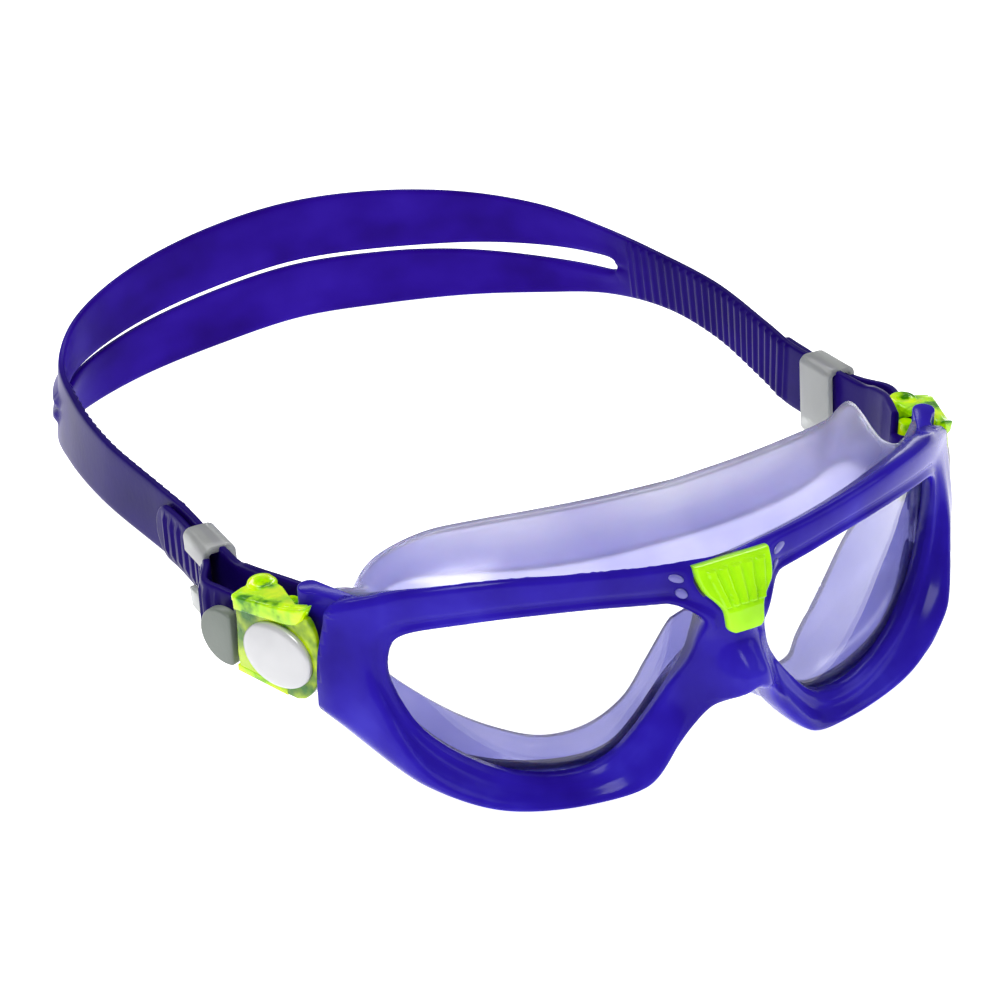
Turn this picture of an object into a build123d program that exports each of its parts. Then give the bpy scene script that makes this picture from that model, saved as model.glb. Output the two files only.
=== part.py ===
from build123d import *
import math
import os

os.makedirs("parts", exist_ok=True)

# Swim goggles: a one-piece curved lens in a wrap-around frame, a soft face skirt behind it, and a
# split head strap that threads through a quick-release buckle at each temple.
# X runs across the face (the wearer's right is -X), +Y to the back of the head, +Z up.
# All lengths are in mm. Heights are above the surface that the goggles rest on.

# ---------------------------------------------------------------- driving sizes: frame and lens
FRAME_DEPTH = 7.0          # frame shell, front face to back face
LENS_FRONT = 2.6           # depth from the frame's front face to the lens
LENS_THICK = 1.8
LENS_BORDER = 3.6          # lens edge inside the frame's outline, above and below
LENS_END = 63.2            # half width of the lens, where the pocket meets the frame's solid temples
SEAT_GAP = 0.1             # clearance round pieces that seat in one another
WRAP_NEAR = 9.6            # forward bow of the front face, quadratic part
WRAP_FAR = 2.8             # forward bow of the front face, quartic part
WRAP_WIDTH = 50.0          # half width at which the two bows are measured
TEMPLE_X = 71.6            # where the front face ends at the temples
CANT_END = 80.0            # construction width of the outlines, past the temples

# upper edge of the frame, from the middle outwards: (x, z)
BROW = [(0, 49.6), (14, 51.0), (29, 52.5), (43, 52.1), (56, 49.8), (68, 45.6), (CANT_END, 42.0)]
# lower edge of the frame, from the middle outwards: nose arch, cheek lobe, temple
CHEEK = [(0, 22.2), (5, 20.2), (10.5, 11.6), (18, 3.4), (31, 0.0), (44, 2.0), (56, 8.2), (67, 17.0),
         (CANT_END, 20.0)]
# eye opening, clockwise from its inner upper corner
EYE = [
    (8.6, 40.4), (30, 43.5), (50, 41.7), (58.6, 38.4), (59.6, 29), (54.5, 17.3),
    (44.5, 9.5), (33.5, 6.3), (23.5, 8.0), (15.5, 16.4), (9.2, 26.6), (6.9, 35.8),
]

# ---------------------------------------------------------------- nose bridge and badge
BRIDGE_HALF = 11.0         # half width of the raised nose bridge
BRIDGE_OUT = 8.4           # how far the bridge stands in front of the frame
BRIDGE_LOW = 22.2          # lowest point of the bridge's ridge
BADGE_THICK = 1.5
BADGE_TOP = (0.35, 49.5)   # (y, z) of the badge's upper edge, on its back face
BADGE_LEAN = 23.7          # degrees from upright, foot forward
BADGE_SIDE = [(8.3, 0.0), (7.7, -3.6), (4.9, -7.2), (4.1, -12.6), (2.4, -14.6)]   # (x, down the face)
BADGE_PEG_R = 1.1
BADGE_PEG_LEN = 2.2
BADGE_PEG_X = 5.2
BADGE_PEG_DOWN = 3.4
FLUTE_COUNT = 5
FLUTE_R = 0.8
FLUTE_SINK = 0.35          # depth of the badge's flutes
FLUTE_PITCH = 2.9
FLUTE_LEN = 6.6

# ---------------------------------------------------------------- skirt
SKIRT_INSET = 4.2          # edge of the skirt's flange inside the frame's outline
SKIRT_JOIN = 0.2           # overlap of the skirt's flange and its wall
SKIRT_LIP = 5.2            # width of the skirt's wall, outline to eye hole, behind the frame
SKIRT_RISE = 4.6           # skirt stands this far above the brow
SKIRT_HALF = 64.0          # half width of the skirt's wall where it leaves the frame
FACE = [(0, 18.5), (20, 19.8), (35, 23.0), (45, 27.0), (54, 32.0), (61, 37.0)]   # face line: (x, y)

# ---------------------------------------------------------------- buckle, in its own frame
# t runs rearward from the buckle's front edge, n outward from its outer face, z up
BUCKLE_X = 72.5            # buckle's front edge: distance from the middle
BUCKLE_Y = 33.6            # buckle's front edge: distance back
BUCKLE_ANGLE = 67.0        # plan angle of the buckle from the X axis
PLATE_LEN = 17.0
PLATE_BULGE = 2.4          # the plate's rounded front edge stands this far ahead
PLATE_THICK = 1.2
BUCKLE_LOW = 19.3          # underside of the buckle
BUCKLE_TOP = 36.2          # top of the buckle at its rear
LIP_TOP = 39.6             # top of the plate's lip at its front
FLOOR_THICK = 1.6
ROOF_THICK = 1.2
SHELF_PAST = 1.3           # floor and roof reach this far inward past the bar's middle
SHELF_FRONT = 3.6          # floor and roof start this far back
BAR_T = 7.3
BAR_R = 1.5
STRAP_GAP = 0.15           # strap clearance on the bar and roller
ROLLER_BACK = 2.6          # roller's middle ahead of the plate's rear edge
ROLLER_R = 1.5
ROLLER_PIN_R = 0.7
RUN_GAP = 0.05             # running clearance of a pin in its bore
END_GAP = 0.3              # end clearance of moving pieces
BOSS_R = 2.7               # boss at the top of the roller pin
BOSS_RISE = 0.5
CAP_LONG = 15.2            # oval cap, along the buckle
CAP_TALL = 13.2
CAP_T = 7.2
CAP_Z = 27.6
CAP_EDGE = 0.7
CAP_DOME = 1.2
CAP_STUD_R = 1.5

# hinge between frame and buckle
HINGE_T = 0.3
HINGE_N = -4.6
HINGE_PIN_R = 0.9
KNUCKLE_R = 2.3
KNUCKLE_LOW = 24.2
KNUCKLE_TOP = 31.8
LUG_LOW = 19.6
LUG_TOP = 43.0
SWING_R = 6.0              # clear round the hinge axis for the buckle's front edge
WEB_BITE = 1.5             # how far the lugs' webs run into the frame

# release lever
LEVER_BACK = 4.0           # lever pivot ahead of the plate's rear edge
LEVER_CLEAR = 0.4          # clearance between the plate and the lever
LEVER_PIN_R = 0.5
LEVER_BARREL_R = 0.95
LEVER_THICK = 1.1
LEVER_FRONT = 8.2
LEVER_LOW = 22.4
LEVER_TOP = 32.4
PAD_R = 6.0
PAD_REACH = 3.2            # pad's middle behind the plate's rear edge
PAD_Z = 24.6
PAD_CLEAR = 0.8            # clearance between the plate's rear edge and the pad
PAD_OUT = -0.3             # outer face of the pad
PAD_THICK = 1.9
TOOTH_COUNT = 3
TOOTH_DEEP = 0.3
TOOTH_PITCH = 1.2
TOOTH_CLEAR = 0.2          # clearance between the teeth and the strap

# ---------------------------------------------------------------- strap
STRAP_THICK = 1.6
STRAP_X = 72.4             # middle of the strap's main layer, in the keeper's stretch
STRAIGHT_START = 64.0      # straight stretch that the keeper slides on
STRAIGHT_END = 92.0
LAYER_GAP = 0.4            # between the main layer and the returning tail
TAIL_START = 70.0
TAIL_END = 100.0
TAIL_FLARE = 0.6           # the tail's loose end stands off the strap by this much more
RETURN_PAST = 0.6          # the strap's two layers run straight this far past the plate
# the strap's main layer behind the straight stretch: (x, y)
HEAD_RING = [(74.1, 105.0), (77.0, 130.0), (76.4, 154.0), (72.0, 176.5), (61.2, 192.0), (44.0, 201.6),
             (22.5, 207.0)]
BACK_Y = 208.6
# heights of the strap's edges: (y, z)
STRAP_TOP = [(36, 39.6), (53, 37.7), (64, 34.6), (78, 33.1), (92, 31.6), (110, 30.2), (132, 28.2),
             (154, 25.8), (170, 24.4), (180, 24.9), (192, 27.6), (202, 31.6), (212, 36.6)]
STRAP_LOW = [(36, 24.2), (53, 22.2), (64, 18.7), (78, 17.2), (92, 15.7), (110, 14.2), (132, 12.2), (154, 8.4),
             (170, 4.6), (180, 1.8), (192, 0.0), (202, 0.5), (212, 3.4)]
TAIL_TOP = [(36, 34.3), (50, 34.2), (64, 33.0), (78, 31.6), (92, 30.1), (104, 28.8)]
TAIL_LOW = [(36, 21.4), (50, 21.3), (64, 20.0), (78, 18.6), (92, 17.1), (104, 15.8)]
SLOT_TOP = [(169.5, 17.4), (173, 17.7), (182, 16.4), (192, 15.8), (202, 16.9), (207, 18.8), (214, 21.6)]
SLOT_LOW = [(169.5, 16.6), (173, 15.3), (182, 14.0), (192, 13.4), (202, 14.5), (207, 16.4), (214, 19.2)]

# ---------------------------------------------------------------- keeper
KEEPER_LEN = 13.0
KEEPER_WALL = 1.6
KEEPER_Y = 78.0            # middle of the keeper at rest
KEEPER_SLIP = 0.3          # clearance round the strap
KEEPER_WINDOW = 8.0        # length of the window in its outer wall
WINDOW_TOP = 3.2           # height of the band left above the window
WINDOW_LOW = 4.4           # height of the band left below it

REST_HEIGHT = 0.3          # the lobes and the strap end in small flats at this height, to rest on

TALL = 90.0                # taller and deeper than any piece, for cutting tools

# ---------------------------------------------------------------- sizes that follow from the others
LEVER_N = -PLATE_THICK - LEVER_CLEAR - LEVER_THICK / 2
STRAP_N = LEVER_N - LEVER_THICK / 2 - TOOTH_DEEP - TOOTH_CLEAR   # strap's outer face in the buckle
BAR_N = STRAP_N - STRAP_THICK - STRAP_GAP - BAR_R
SHELF_DEPTH = SHELF_PAST - BAR_N
ROLLER_T = PLATE_LEN - ROLLER_BACK
LEVER_T = PLATE_LEN - LEVER_BACK
PAD_FRONT = PLATE_LEN + PAD_CLEAR
PAD_T = PLATE_LEN + PAD_REACH
RETURN_END_T = PLATE_LEN + RETURN_PAST


# ================================================================ helpers
def wrap(x):
    """The frame's front face in plan: distance back at a distance x from the middle."""
    share = abs(x) / WRAP_WIDTH
    return WRAP_NEAR * share**2 + WRAP_FAR * share**4


def wrap_slope(x):
    share = abs(x) / WRAP_WIDTH
    slope = (2 * WRAP_NEAR * share + 4 * WRAP_FAR * share**3) / WRAP_WIDTH
    return math.copysign(slope, x)


def behind(x, depth):
    """The plan point at a given depth behind the front face, square to it."""
    slope = wrap_slope(x)
    length = math.hypot(1, slope)
    return (x - depth * slope / length, wrap(x) + depth / length)


def mirrored(half):
    """A half outline from the middle outwards, made whole from -X to +X."""
    left = [(-x, v) for x, v in reversed(half) if x > 0]
    return left + list(half)


def moved(points, amount):
    """Points of an open outline, each moved square to the outline by amount (to its left)."""
    out = []
    for i, (x, z) in enumerate(points):
        ax, az = points[max(i - 1, 0)]
        bx, bz = points[min(i + 1, len(points) - 1)]
        length = math.hypot(bx - ax, bz - az)
        out.append((x - amount * (bz - az) / length, z + amount * (bx - ax) / length))
    return out


def closed_moved(points, amount):
    """Points of a closed outline, clockwise, each moved outward by amount."""
    out = []
    count = len(points)
    for i, (x, z) in enumerate(points):
        ax, az = points[i - 1]
        bx, bz = points[(i + 1) % count]
        length = math.hypot(bx - ax, bz - az)
        out.append((x - amount * (bz - az) / length, z + amount * (bx - ax) / length))
    return out


def front_outline(inset, rise=0.0):
    """The frame's outline seen from the front, moved in by inset, as a prism along Y."""
    top = [(x, z + rise) for x, z in moved(mirrored(BROW), -inset)]
    low = moved(mirrored(CHEEK), inset)
    top_edge = Spline([Vector(x, -TALL, z) for x, z in top])
    low_edge = Spline([Vector(x, -TALL, z) for x, z in low])
    sides = [Line(top_edge @ 0, low_edge @ 0), Line(top_edge @ 1, low_edge @ 1)]
    return extrude(make_face([top_edge, low_edge] + sides), amount=2 * TALL, dir=(0, 1, 0))


def eye_prism(side, grow):
    """An eye opening on one side (-1 or 1), grown by an amount, as a prism along Y."""
    points = [Vector(side * x, -TALL, z) for x, z in closed_moved(EYE, grow)]
    return extrude(make_face(Spline(points, periodic=True)), amount=2 * TALL, dir=(0, 1, 0))


def wrapped_slab(depth_a, depth_b, reach):
    """The space between two depths behind the front face, out to x = reach at the front."""
    steps = 17
    stations = [reach * (2 * i / (steps - 1) - 1) for i in range(steps)]
    front = Spline([Vector(*behind(x, depth_a), -5) for x in stations])
    back = Spline([Vector(*behind(x, depth_b), -5) for x in stations])
    ends = [Line(front @ 0, back @ 0), Line(front @ 1, back @ 1)]
    return extrude(make_face([front, back] + ends), amount=TALL, dir=(0, 0, 1))


def side_profile(top, low):
    """The space between two edges given as (y, z) points, as a prism along X."""
    top_edge = Spline([Vector(-TALL, y, z) for y, z in top])
    low_edge = Spline([Vector(-TALL, y, z) for y, z in low])
    ends = [Line(top_edge @ 0, low_edge @ 0), Line(top_edge @ 1, low_edge @ 1)]
    return extrude(make_face([top_edge, low_edge] + ends), amount=2 * TALL, dir=(1, 0, 0))


def offset_edge(edge, amount):
    """A plan edge moved square to itself; curves go through closely spaced points."""
    if edge.geom_type == GeomType.LINE:
        spots = [0.0, 1.0]
    else:
        steps = max(5, int(edge.length / 3))
        spots = [i / steps for i in range(steps + 1)]
    points = []
    for u in spots:
        heading = edge % u
        points.append(edge @ u + Vector(-heading.Y, heading.X) * amount)
    if edge.geom_type == GeomType.LINE:
        return Line(points[0], points[1])
    return Spline(points, tangents=[edge % 0, edge % 1])


def plan_band(edges, thick):
    """A band of even thickness that stands on a chain of plan edges, z from 0 up."""
    one = [offset_edge(e, thick / 2) for e in edges]
    two = [offset_edge(e, -thick / 2) for e in edges]
    ends = [Line(one[0] @ 0, two[0] @ 0), Line(one[-1] @ 1, two[-1] @ 1)]
    return extrude(make_face(one + two + ends), amount=TALL, dir=(0, 0, 1))


def below_rest():
    """Everything under the plane that the goggles rest on."""
    return Pos(0, BACK_Y / 2, REST_HEIGHT - TALL / 2) * Box(2 * TALL, BACK_Y + TALL, TALL)


def block(t0, t1, n0, n1, z0, z1):
    """A block between pairs of t, n and z in the buckle's frame."""
    return Pos((t0 + t1) / 2, (n0 + n1) / 2, (z0 + z1) / 2) * Box(abs(t1 - t0), abs(n1 - n0), abs(z1 - z0))


def upright(t, n, radius, z0, z1):
    """An upright cylinder in the buckle's frame."""
    return Pos(t, n, (z0 + z1) / 2) * Cylinder(radius, z1 - z0)


def on_right(shape):
    """A shape in the buckle's frame, set in place on the wearer's right (-X)."""
    return Pos(-BUCKLE_X, BUCKLE_Y, 0) * Rot(0, 0, 180 - BUCKLE_ANGLE) * shape


def buckle_plan(t, n, side=1):
    """A point of the buckle's frame in plan, on one side (-1 or 1)."""
    angle = math.radians(BUCKLE_ANGLE)
    x = BUCKLE_X + t * math.cos(angle) + n * math.sin(angle)
    y = BUCKLE_Y + t * math.sin(angle) - n * math.cos(angle)
    return Vector(side * x, y, 0)


def both_sides(name, right_shape):
    """The right-hand piece and its mirror image, named by the wearer's side."""
    return {f"right_{name}": right_shape, f"left_{name}": mirror(right_shape, about=Plane.YZ)}


# ================================================================ frame, lens, skirt, badge
def badge_place(x, down, out):
    """A point on the badge's back plane: x across, down the face, out from it."""
    lean = math.radians(BADGE_LEAN)
    y = BADGE_TOP[0] - down * math.sin(lean) - out * math.cos(lean)
    z = BADGE_TOP[1] - down * math.cos(lean) + out * math.sin(lean)
    return Vector(x, y, z)


def badge_prism(grow, out_a, out_b):
    """The badge's tie-shaped outline between two heights above its back plane."""
    half = [(x + grow, down) for x, down in BADGE_SIDE]
    right = [badge_place(x, -down, out_a) for x, down in half]
    left = [badge_place(-x, -down, out_a) for x, down in reversed(half)]
    edges = [
        Line(left[-1], right[0]),
        Spline(right),
        Line(right[-1], left[0]),
        Spline(left),
    ]
    normal = badge_place(0, 0, 1) - badge_place(0, 0, 0)
    return extrude(make_face(edges), amount=out_b - out_a, dir=normal)


def badge_pegs(radius, length):
    pegs = []
    normal = badge_place(0, 0, 1) - badge_place(0, 0, 0)
    for side in (-1, 1):
        foot = badge_place(side * BADGE_PEG_X, BADGE_PEG_DOWN, -length)
        pegs.append(extrude(Plane(foot, z_dir=normal) * Circle(radius), amount=length))
    return pegs


def make_badge():
    badge = badge_prism(0, 0, BADGE_THICK)
    for peg in badge_pegs(BADGE_PEG_R, BADGE_PEG_LEN):
        badge += peg
    down = badge_place(0, 1, 0) - badge_place(0, 0, 0)
    for i in range(FLUTE_COUNT):
        x = (i - (FLUTE_COUNT - 1) / 2) * FLUTE_PITCH
        top = badge_place(x, 0.9, BADGE_THICK + FLUTE_R - FLUTE_SINK)
        fan = Vector(-x / 22, 0, 0)
        badge -= extrude(Plane(top, z_dir=down + fan) * Circle(FLUTE_R), amount=FLUTE_LEN)
    return badge


def nose_bridge():
    """The raised ridge between the eyes, which slopes forward as it goes down."""
    foot = badge_place(0, 16.5, 0.5)
    front = [badge_place(0, -2.0, 0.5), foot, Vector(0, -BRIDGE_OUT, BRIDGE_LOW + 2.4)]
    under = [front[-1], Vector(0, -BRIDGE_OUT + 2.4, BRIDGE_LOW), Vector(0, FRAME_DEPTH, BRIDGE_LOW + 0.6)]
    back = [under[-1], Vector(0, FRAME_DEPTH, 52), front[0]]
    side = make_face([Polyline(front), Polyline(under), Polyline(back)])
    slice_x = extrude(side, amount=BRIDGE_HALF, dir=(1, 0, 0), both=True)
    nose = Spline([
        Vector(-BRIDGE_HALF, 1.2, 0), Vector(-BRIDGE_HALF * 0.6, -BRIDGE_OUT * 0.62, 0),
        Vector(0, -BRIDGE_OUT, 0),
        Vector(BRIDGE_HALF * 0.6, -BRIDGE_OUT * 0.62, 0), Vector(BRIDGE_HALF, 1.2, 0),
    ])
    back_right, back_left = Vector(-BRIDGE_HALF, FRAME_DEPTH, 0), Vector(BRIDGE_HALF, FRAME_DEPTH, 0)
    box_back = Polyline([nose @ 1, back_left, back_right, nose @ 0])
    plan = extrude(make_face([nose, box_back]), amount=TALL, dir=(0, 0, 1))
    return slice_x & plan & front_outline(0)


def frame_lugs():
    """The two hinge lugs at the right temple, above and below the buckle's knuckle."""
    lugs = []
    for low, top in ((LUG_LOW, KNUCKLE_LOW - END_GAP), (KNUCKLE_TOP + END_GAP, LUG_TOP)):
        eye = upright(HINGE_T, HINGE_N, KNUCKLE_R, low, top)
        web = block(HINGE_T - SWING_R - WEB_BITE, HINGE_T, HINGE_N - KNUCKLE_R, HINGE_N, low, top)
        lugs.append(eye + web)
    return lugs


def make_frame():
    frame = wrapped_slab(0, FRAME_DEPTH, TEMPLE_X) & front_outline(0)
    frame += nose_bridge()
    for side in (-1, 1):
        frame -= eye_prism(side, 0)
    pocket = wrapped_slab(LENS_FRONT, FRAME_DEPTH + 3, LENS_END + SEAT_GAP)
    frame -= pocket & front_outline(LENS_BORDER - SEAT_GAP)
    frame -= badge_prism(SEAT_GAP, 0, 6)
    for peg in badge_pegs(BADGE_PEG_R + SEAT_GAP, BADGE_PEG_LEN + SEAT_GAP):
        frame -= peg
    swing = on_right(upright(HINGE_T, HINGE_N, SWING_R, BUCKLE_LOW - 1.2, LIP_TOP + 0.6))
    frame -= swing
    frame -= mirror(swing, about=Plane.YZ)
    for lug in frame_lugs():
        frame += on_right(lug)
        frame += mirror(on_right(lug), about=Plane.YZ)
    bore = on_right(upright(HINGE_T, HINGE_N, HINGE_PIN_R, LUG_LOW - 1, LUG_TOP + 1))
    return frame - bore - mirror(bore, about=Plane.YZ) - below_rest()


def make_lens():
    front = LENS_FRONT + SEAT_GAP
    return wrapped_slab(front, front + LENS_THICK, LENS_END) & front_outline(LENS_BORDER)


def make_skirt():
    flange_front = LENS_FRONT + LENS_THICK + 2 * SEAT_GAP
    wall_front = FRAME_DEPTH + SEAT_GAP
    flange = wrapped_slab(flange_front, wall_front + SKIRT_JOIN, LENS_END - SEAT_GAP)
    flange &= front_outline(SKIRT_INSET)
    stations = [SKIRT_HALF * (i / 7 - 1) for i in range(15)]
    front = Spline([Vector(*behind(x, wall_front), -5) for x in stations])
    face = Spline([Vector(x, y, -5) for x, y in mirrored(FACE)])
    ends = [Line(front @ 0, face @ 0), Line(front @ 1, face @ 1)]
    wall = extrude(make_face([front, face] + ends), amount=TALL, dir=(0, 0, 1))
    wall &= front_outline(SKIRT_INSET, rise=SKIRT_INSET + SKIRT_RISE)
    skirt = flange + wall
    for side in (-1, 1):
        skirt -= eye_prism(side, SKIRT_INSET - SKIRT_LIP)
    return skirt


# ================================================================ buckle, on the wearer's right
def plate_outline():
    """The outer plate seen square on: rounded front edge, lip that rises forward."""
    top_front = Vector(0, 0, LIP_TOP)
    mid_front = Vector(-PLATE_BULGE, 0, (LIP_TOP + BUCKLE_LOW) / 2)
    low_front = Vector(0, 0, BUCKLE_LOW)
    low_back = Vector(PLATE_LEN, 0, BUCKLE_LOW)
    top_back = Vector(PLATE_LEN, 0, BUCKLE_TOP)
    front = ThreePointArc(top_front, mid_front, low_front)
    rest = Polyline([low_front, low_back, top_back, top_front])
    return make_face([front, rest])


def lever_room():
    """The space in the housing that the lever's barrel turns in."""
    return upright(LEVER_T, LEVER_N, LEVER_BARREL_R + END_GAP, LEVER_LOW - END_GAP, LEVER_TOP + END_GAP)


def make_housing():
    plate = extrude(plate_outline(), amount=PLATE_THICK, dir=(0, -1, 0))
    floor = block(SHELF_FRONT, PLATE_LEN, 0, -SHELF_DEPTH, BUCKLE_LOW, BUCKLE_LOW + FLOOR_THICK)
    roof = block(SHELF_FRONT, PLATE_LEN, 0, -SHELF_DEPTH, BUCKLE_TOP - ROOF_THICK, BUCKLE_TOP)
    boss = upright(ROLLER_T, BAR_N, BOSS_R, BUCKLE_TOP - ROOF_THICK, BUCKLE_TOP + BOSS_RISE)
    knuckle = upright(HINGE_T, HINGE_N, KNUCKLE_R, KNUCKLE_LOW, KNUCKLE_TOP)
    arm = block(HINGE_T - 1.5, HINGE_T + 1.9, HINGE_N, -PLATE_THICK / 2, KNUCKLE_LOW, KNUCKLE_TOP)
    foot = upright(ROLLER_T, BAR_N, BOSS_R, BUCKLE_LOW, BUCKLE_LOW + FLOOR_THICK)
    housing = plate + floor + roof + boss + knuckle + arm + foot
    housing -= block(0, PLATE_LEN + 4, -SHELF_DEPTH, -SHELF_DEPTH - 5, BUCKLE_LOW - 1, BUCKLE_TOP + 4)
    housing -= lever_room()
    bores = [
        (HINGE_T, HINGE_N, HINGE_PIN_R + RUN_GAP),
        (BAR_T, BAR_N, BAR_R),
        (ROLLER_T, BAR_N, ROLLER_PIN_R),
        (LEVER_T, LEVER_N, LEVER_PIN_R),
    ]
    for t, n, radius in bores:
        housing -= upright(t, n, radius, BUCKLE_LOW - 1, LIP_TOP + 2)
    stud = Plane((CAP_T, 1, CAP_Z), z_dir=(0, 1, 0)) * Circle(CAP_STUD_R + SEAT_GAP / 2)
    return housing - extrude(stud, amount=4, both=True)


def make_cap():
    base = Plane((CAP_T, 0, CAP_Z), x_dir=(1, 0, 0), z_dir=(0, 1, 0))
    edge = extrude(base * Ellipse(CAP_LONG / 2, CAP_TALL / 2), amount=CAP_EDGE)
    dome_radius = (CAP_LONG**2 / 4 + CAP_DOME**2) / (2 * CAP_DOME)
    centre = CAP_EDGE + CAP_DOME - dome_radius
    ball = Pos(CAP_T, centre, CAP_Z) * Sphere(dome_radius)
    crown = extrude(base * Ellipse(CAP_LONG / 2, CAP_TALL / 2), amount=CAP_EDGE + CAP_DOME) & ball
    stud = extrude(base * Circle(CAP_STUD_R), amount=-PLATE_THICK)
    return edge + crown + stud


def make_bar():
    return upright(BAR_T, BAR_N, BAR_R, BUCKLE_LOW, BUCKLE_TOP)


def make_roller():
    low = BUCKLE_LOW + FLOOR_THICK + END_GAP
    top = BUCKLE_TOP - ROOF_THICK - END_GAP
    bore = upright(ROLLER_T, BAR_N, ROLLER_PIN_R + RUN_GAP, low, top)
    return upright(ROLLER_T, BAR_N, ROLLER_R, low, top) - bore


def make_lever():
    inner = LEVER_N - LEVER_THICK / 2
    outer = LEVER_N + LEVER_THICK / 2
    arm = block(LEVER_FRONT, PAD_FRONT + 0.6, inner, outer, LEVER_LOW, LEVER_TOP)
    barrel = upright(LEVER_T, LEVER_N, LEVER_BARREL_R, LEVER_LOW, LEVER_TOP)
    disc = extrude(Plane((PAD_T, PAD_OUT, PAD_Z), z_dir=(0, -1, 0)) * Circle(PAD_R), amount=PAD_THICK)
    disc -= block(0, PAD_FRONT, 4, -8, 0, TALL)
    neck = block(PAD_FRONT - 0.6, PAD_FRONT + 1.4, inner, PAD_OUT - 0.9, LEVER_LOW, PAD_Z + 4.2)
    lever = arm + barrel + disc + neck
    for i in range(TOOTH_COUNT):
        t = LEVER_FRONT + 0.5 + i * TOOTH_PITCH
        tooth = block(t - 0.3, t + 0.3, inner, inner - TOOTH_DEEP, LEVER_LOW + 0.6, LEVER_TOP - 0.6)
        lever += tooth
    return lever - upright(LEVER_T, LEVER_N, LEVER_PIN_R + RUN_GAP, 0, TALL)


# ================================================================ strap and keepers
def strap_front(side):
    """Plan edges of the main layer on one side, from the strap bar to the straight stretch's end."""
    layer = BAR_N - BAR_R - STRAP_GAP - STRAP_THICK / 2
    start = buckle_plan(BAR_T, layer, side)
    leave = buckle_plan(RETURN_END_T, layer, side)
    near = Vector(side * STRAP_X, STRAIGHT_START, 0)
    far = Vector(side * STRAP_X, STRAIGHT_END, 0)
    heading = (leave - start).normalized()
    return start, leave, near, far, heading


def strap_main():
    """Plan edges of the main layer, once round the head from buckle to buckle."""
    along = Vector(0, 1, 0)
    start, leave, near, far, heading = strap_front(1)
    out = [Line(start, leave), Spline([leave, near], tangents=[heading, along]), Line(near, far)]
    ring = [(STRAP_X, STRAIGHT_END)] + HEAD_RING
    ring += [(0, BACK_Y)] + [(-x, y) for x, y in reversed(ring)]
    middle = Spline([Vector(x, y, 0) for x, y in ring], tangents=[along, -along])
    start, leave, near, far, heading = strap_front(-1)
    back = [Line(far, near), Spline([near, leave], tangents=[-along, -heading]), Line(leave, start)]
    return out + [middle] + back


def strap_tail():
    """Plan edges of the returning tail on the +X side, from the bar to its loose end."""
    along = Vector(0, 1, 0)
    layer = BAR_N + BAR_R + STRAP_GAP + STRAP_THICK / 2
    back = buckle_plan(BAR_T, layer)
    leave = buckle_plan(RETURN_END_T, layer)
    tail_x = STRAP_X + STRAP_THICK + LAYER_GAP
    return [
        Line(back, leave),
        Spline([leave, Vector(tail_x, TAIL_START, 0)], tangents=[(leave - back).normalized(), along]),
        Line(Vector(tail_x, TAIL_START, 0), Vector(tail_x, STRAIGHT_END, 0)),
        Spline([Vector(tail_x, STRAIGHT_END, 0), Vector(tail_x + TAIL_FLARE, TAIL_END, 0)],
               tangents=[along, Vector(0.12, 1, 0)]),
    ]


def loop_band():
    """The half turn round the strap bar on the +X side, as a band of the strap's thickness."""
    inner = BAR_R + STRAP_GAP
    edges = []
    for radius in (inner, inner + STRAP_THICK):
        first = buckle_plan(BAR_T, BAR_N - radius)
        middle = buckle_plan(BAR_T - radius, BAR_N)
        last = buckle_plan(BAR_T, BAR_N + radius)
        edges.append(ThreePointArc(first, middle, last))
    caps = [Line(edges[0] @ 0, edges[1] @ 0), Line(edges[0] @ 1, edges[1] @ 1)]
    return extrude(make_face(edges + caps), amount=TALL, dir=(0, 0, 1))


def make_strap():
    strap = plan_band(strap_main(), STRAP_THICK) & side_profile(STRAP_TOP, STRAP_LOW)
    strap -= side_profile(SLOT_TOP, SLOT_LOW)
    tail_space = side_profile(TAIL_TOP, TAIL_LOW)
    for layer in (loop_band() & tail_space, plan_band(strap_tail(), STRAP_THICK) & tail_space):
        strap += layer
        strap += mirror(layer, about=Plane.YZ)
    return strap - below_rest()


def keeper_angle():
    """Slope of the strap in the keeper's stretch, in degrees below the horizontal."""
    rows = dict(STRAP_TOP)
    return math.degrees(math.atan2(rows[64] - rows[92], 92 - 64))


def strap_middle(y):
    """Height of the strap's centre line in its straight stretch."""
    tops = dict(STRAP_TOP)
    lows = dict(STRAP_LOW)
    first = (tops[64] + lows[64]) / 2
    last = (tops[92] + lows[92]) / 2
    return first + (last - first) * (y - 64) / (92 - 64)


def make_keeper():
    """The right keeper: a sleeve round both layers, with a window in its outer wall."""
    tall = dict(STRAP_TOP)[78] - dict(STRAP_LOW)[78] + 2 * KEEPER_SLIP
    deep = 2 * STRAP_THICK + LAYER_GAP + 2 * KEEPER_SLIP
    outer = Box(deep + 2 * KEEPER_WALL, KEEPER_LEN, tall + 2 * KEEPER_WALL)
    outer = fillet(outer.edges().filter_by(Axis.Y), KEEPER_WALL * 0.9)
    sleeve = outer - Box(deep, KEEPER_LEN + 2, tall)
    window_z0 = -tall / 2 + WINDOW_LOW
    window_z1 = tall / 2 - WINDOW_TOP
    window = Box(KEEPER_WALL * 3, KEEPER_WINDOW, window_z1 - window_z0)
    window_y = -KEEPER_LEN / 2 + KEEPER_WINDOW / 2
    window = Pos(-deep / 2 - KEEPER_WALL * 1.2, window_y - 0.01, (window_z0 + window_z1) / 2) * window
    sleeve -= window
    x = STRAP_X + (STRAP_THICK + LAYER_GAP) / 2
    return Pos(-x, KEEPER_Y, strap_middle(KEEPER_Y)) * Rot(-keeper_angle(), 0, 0) * sleeve


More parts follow.
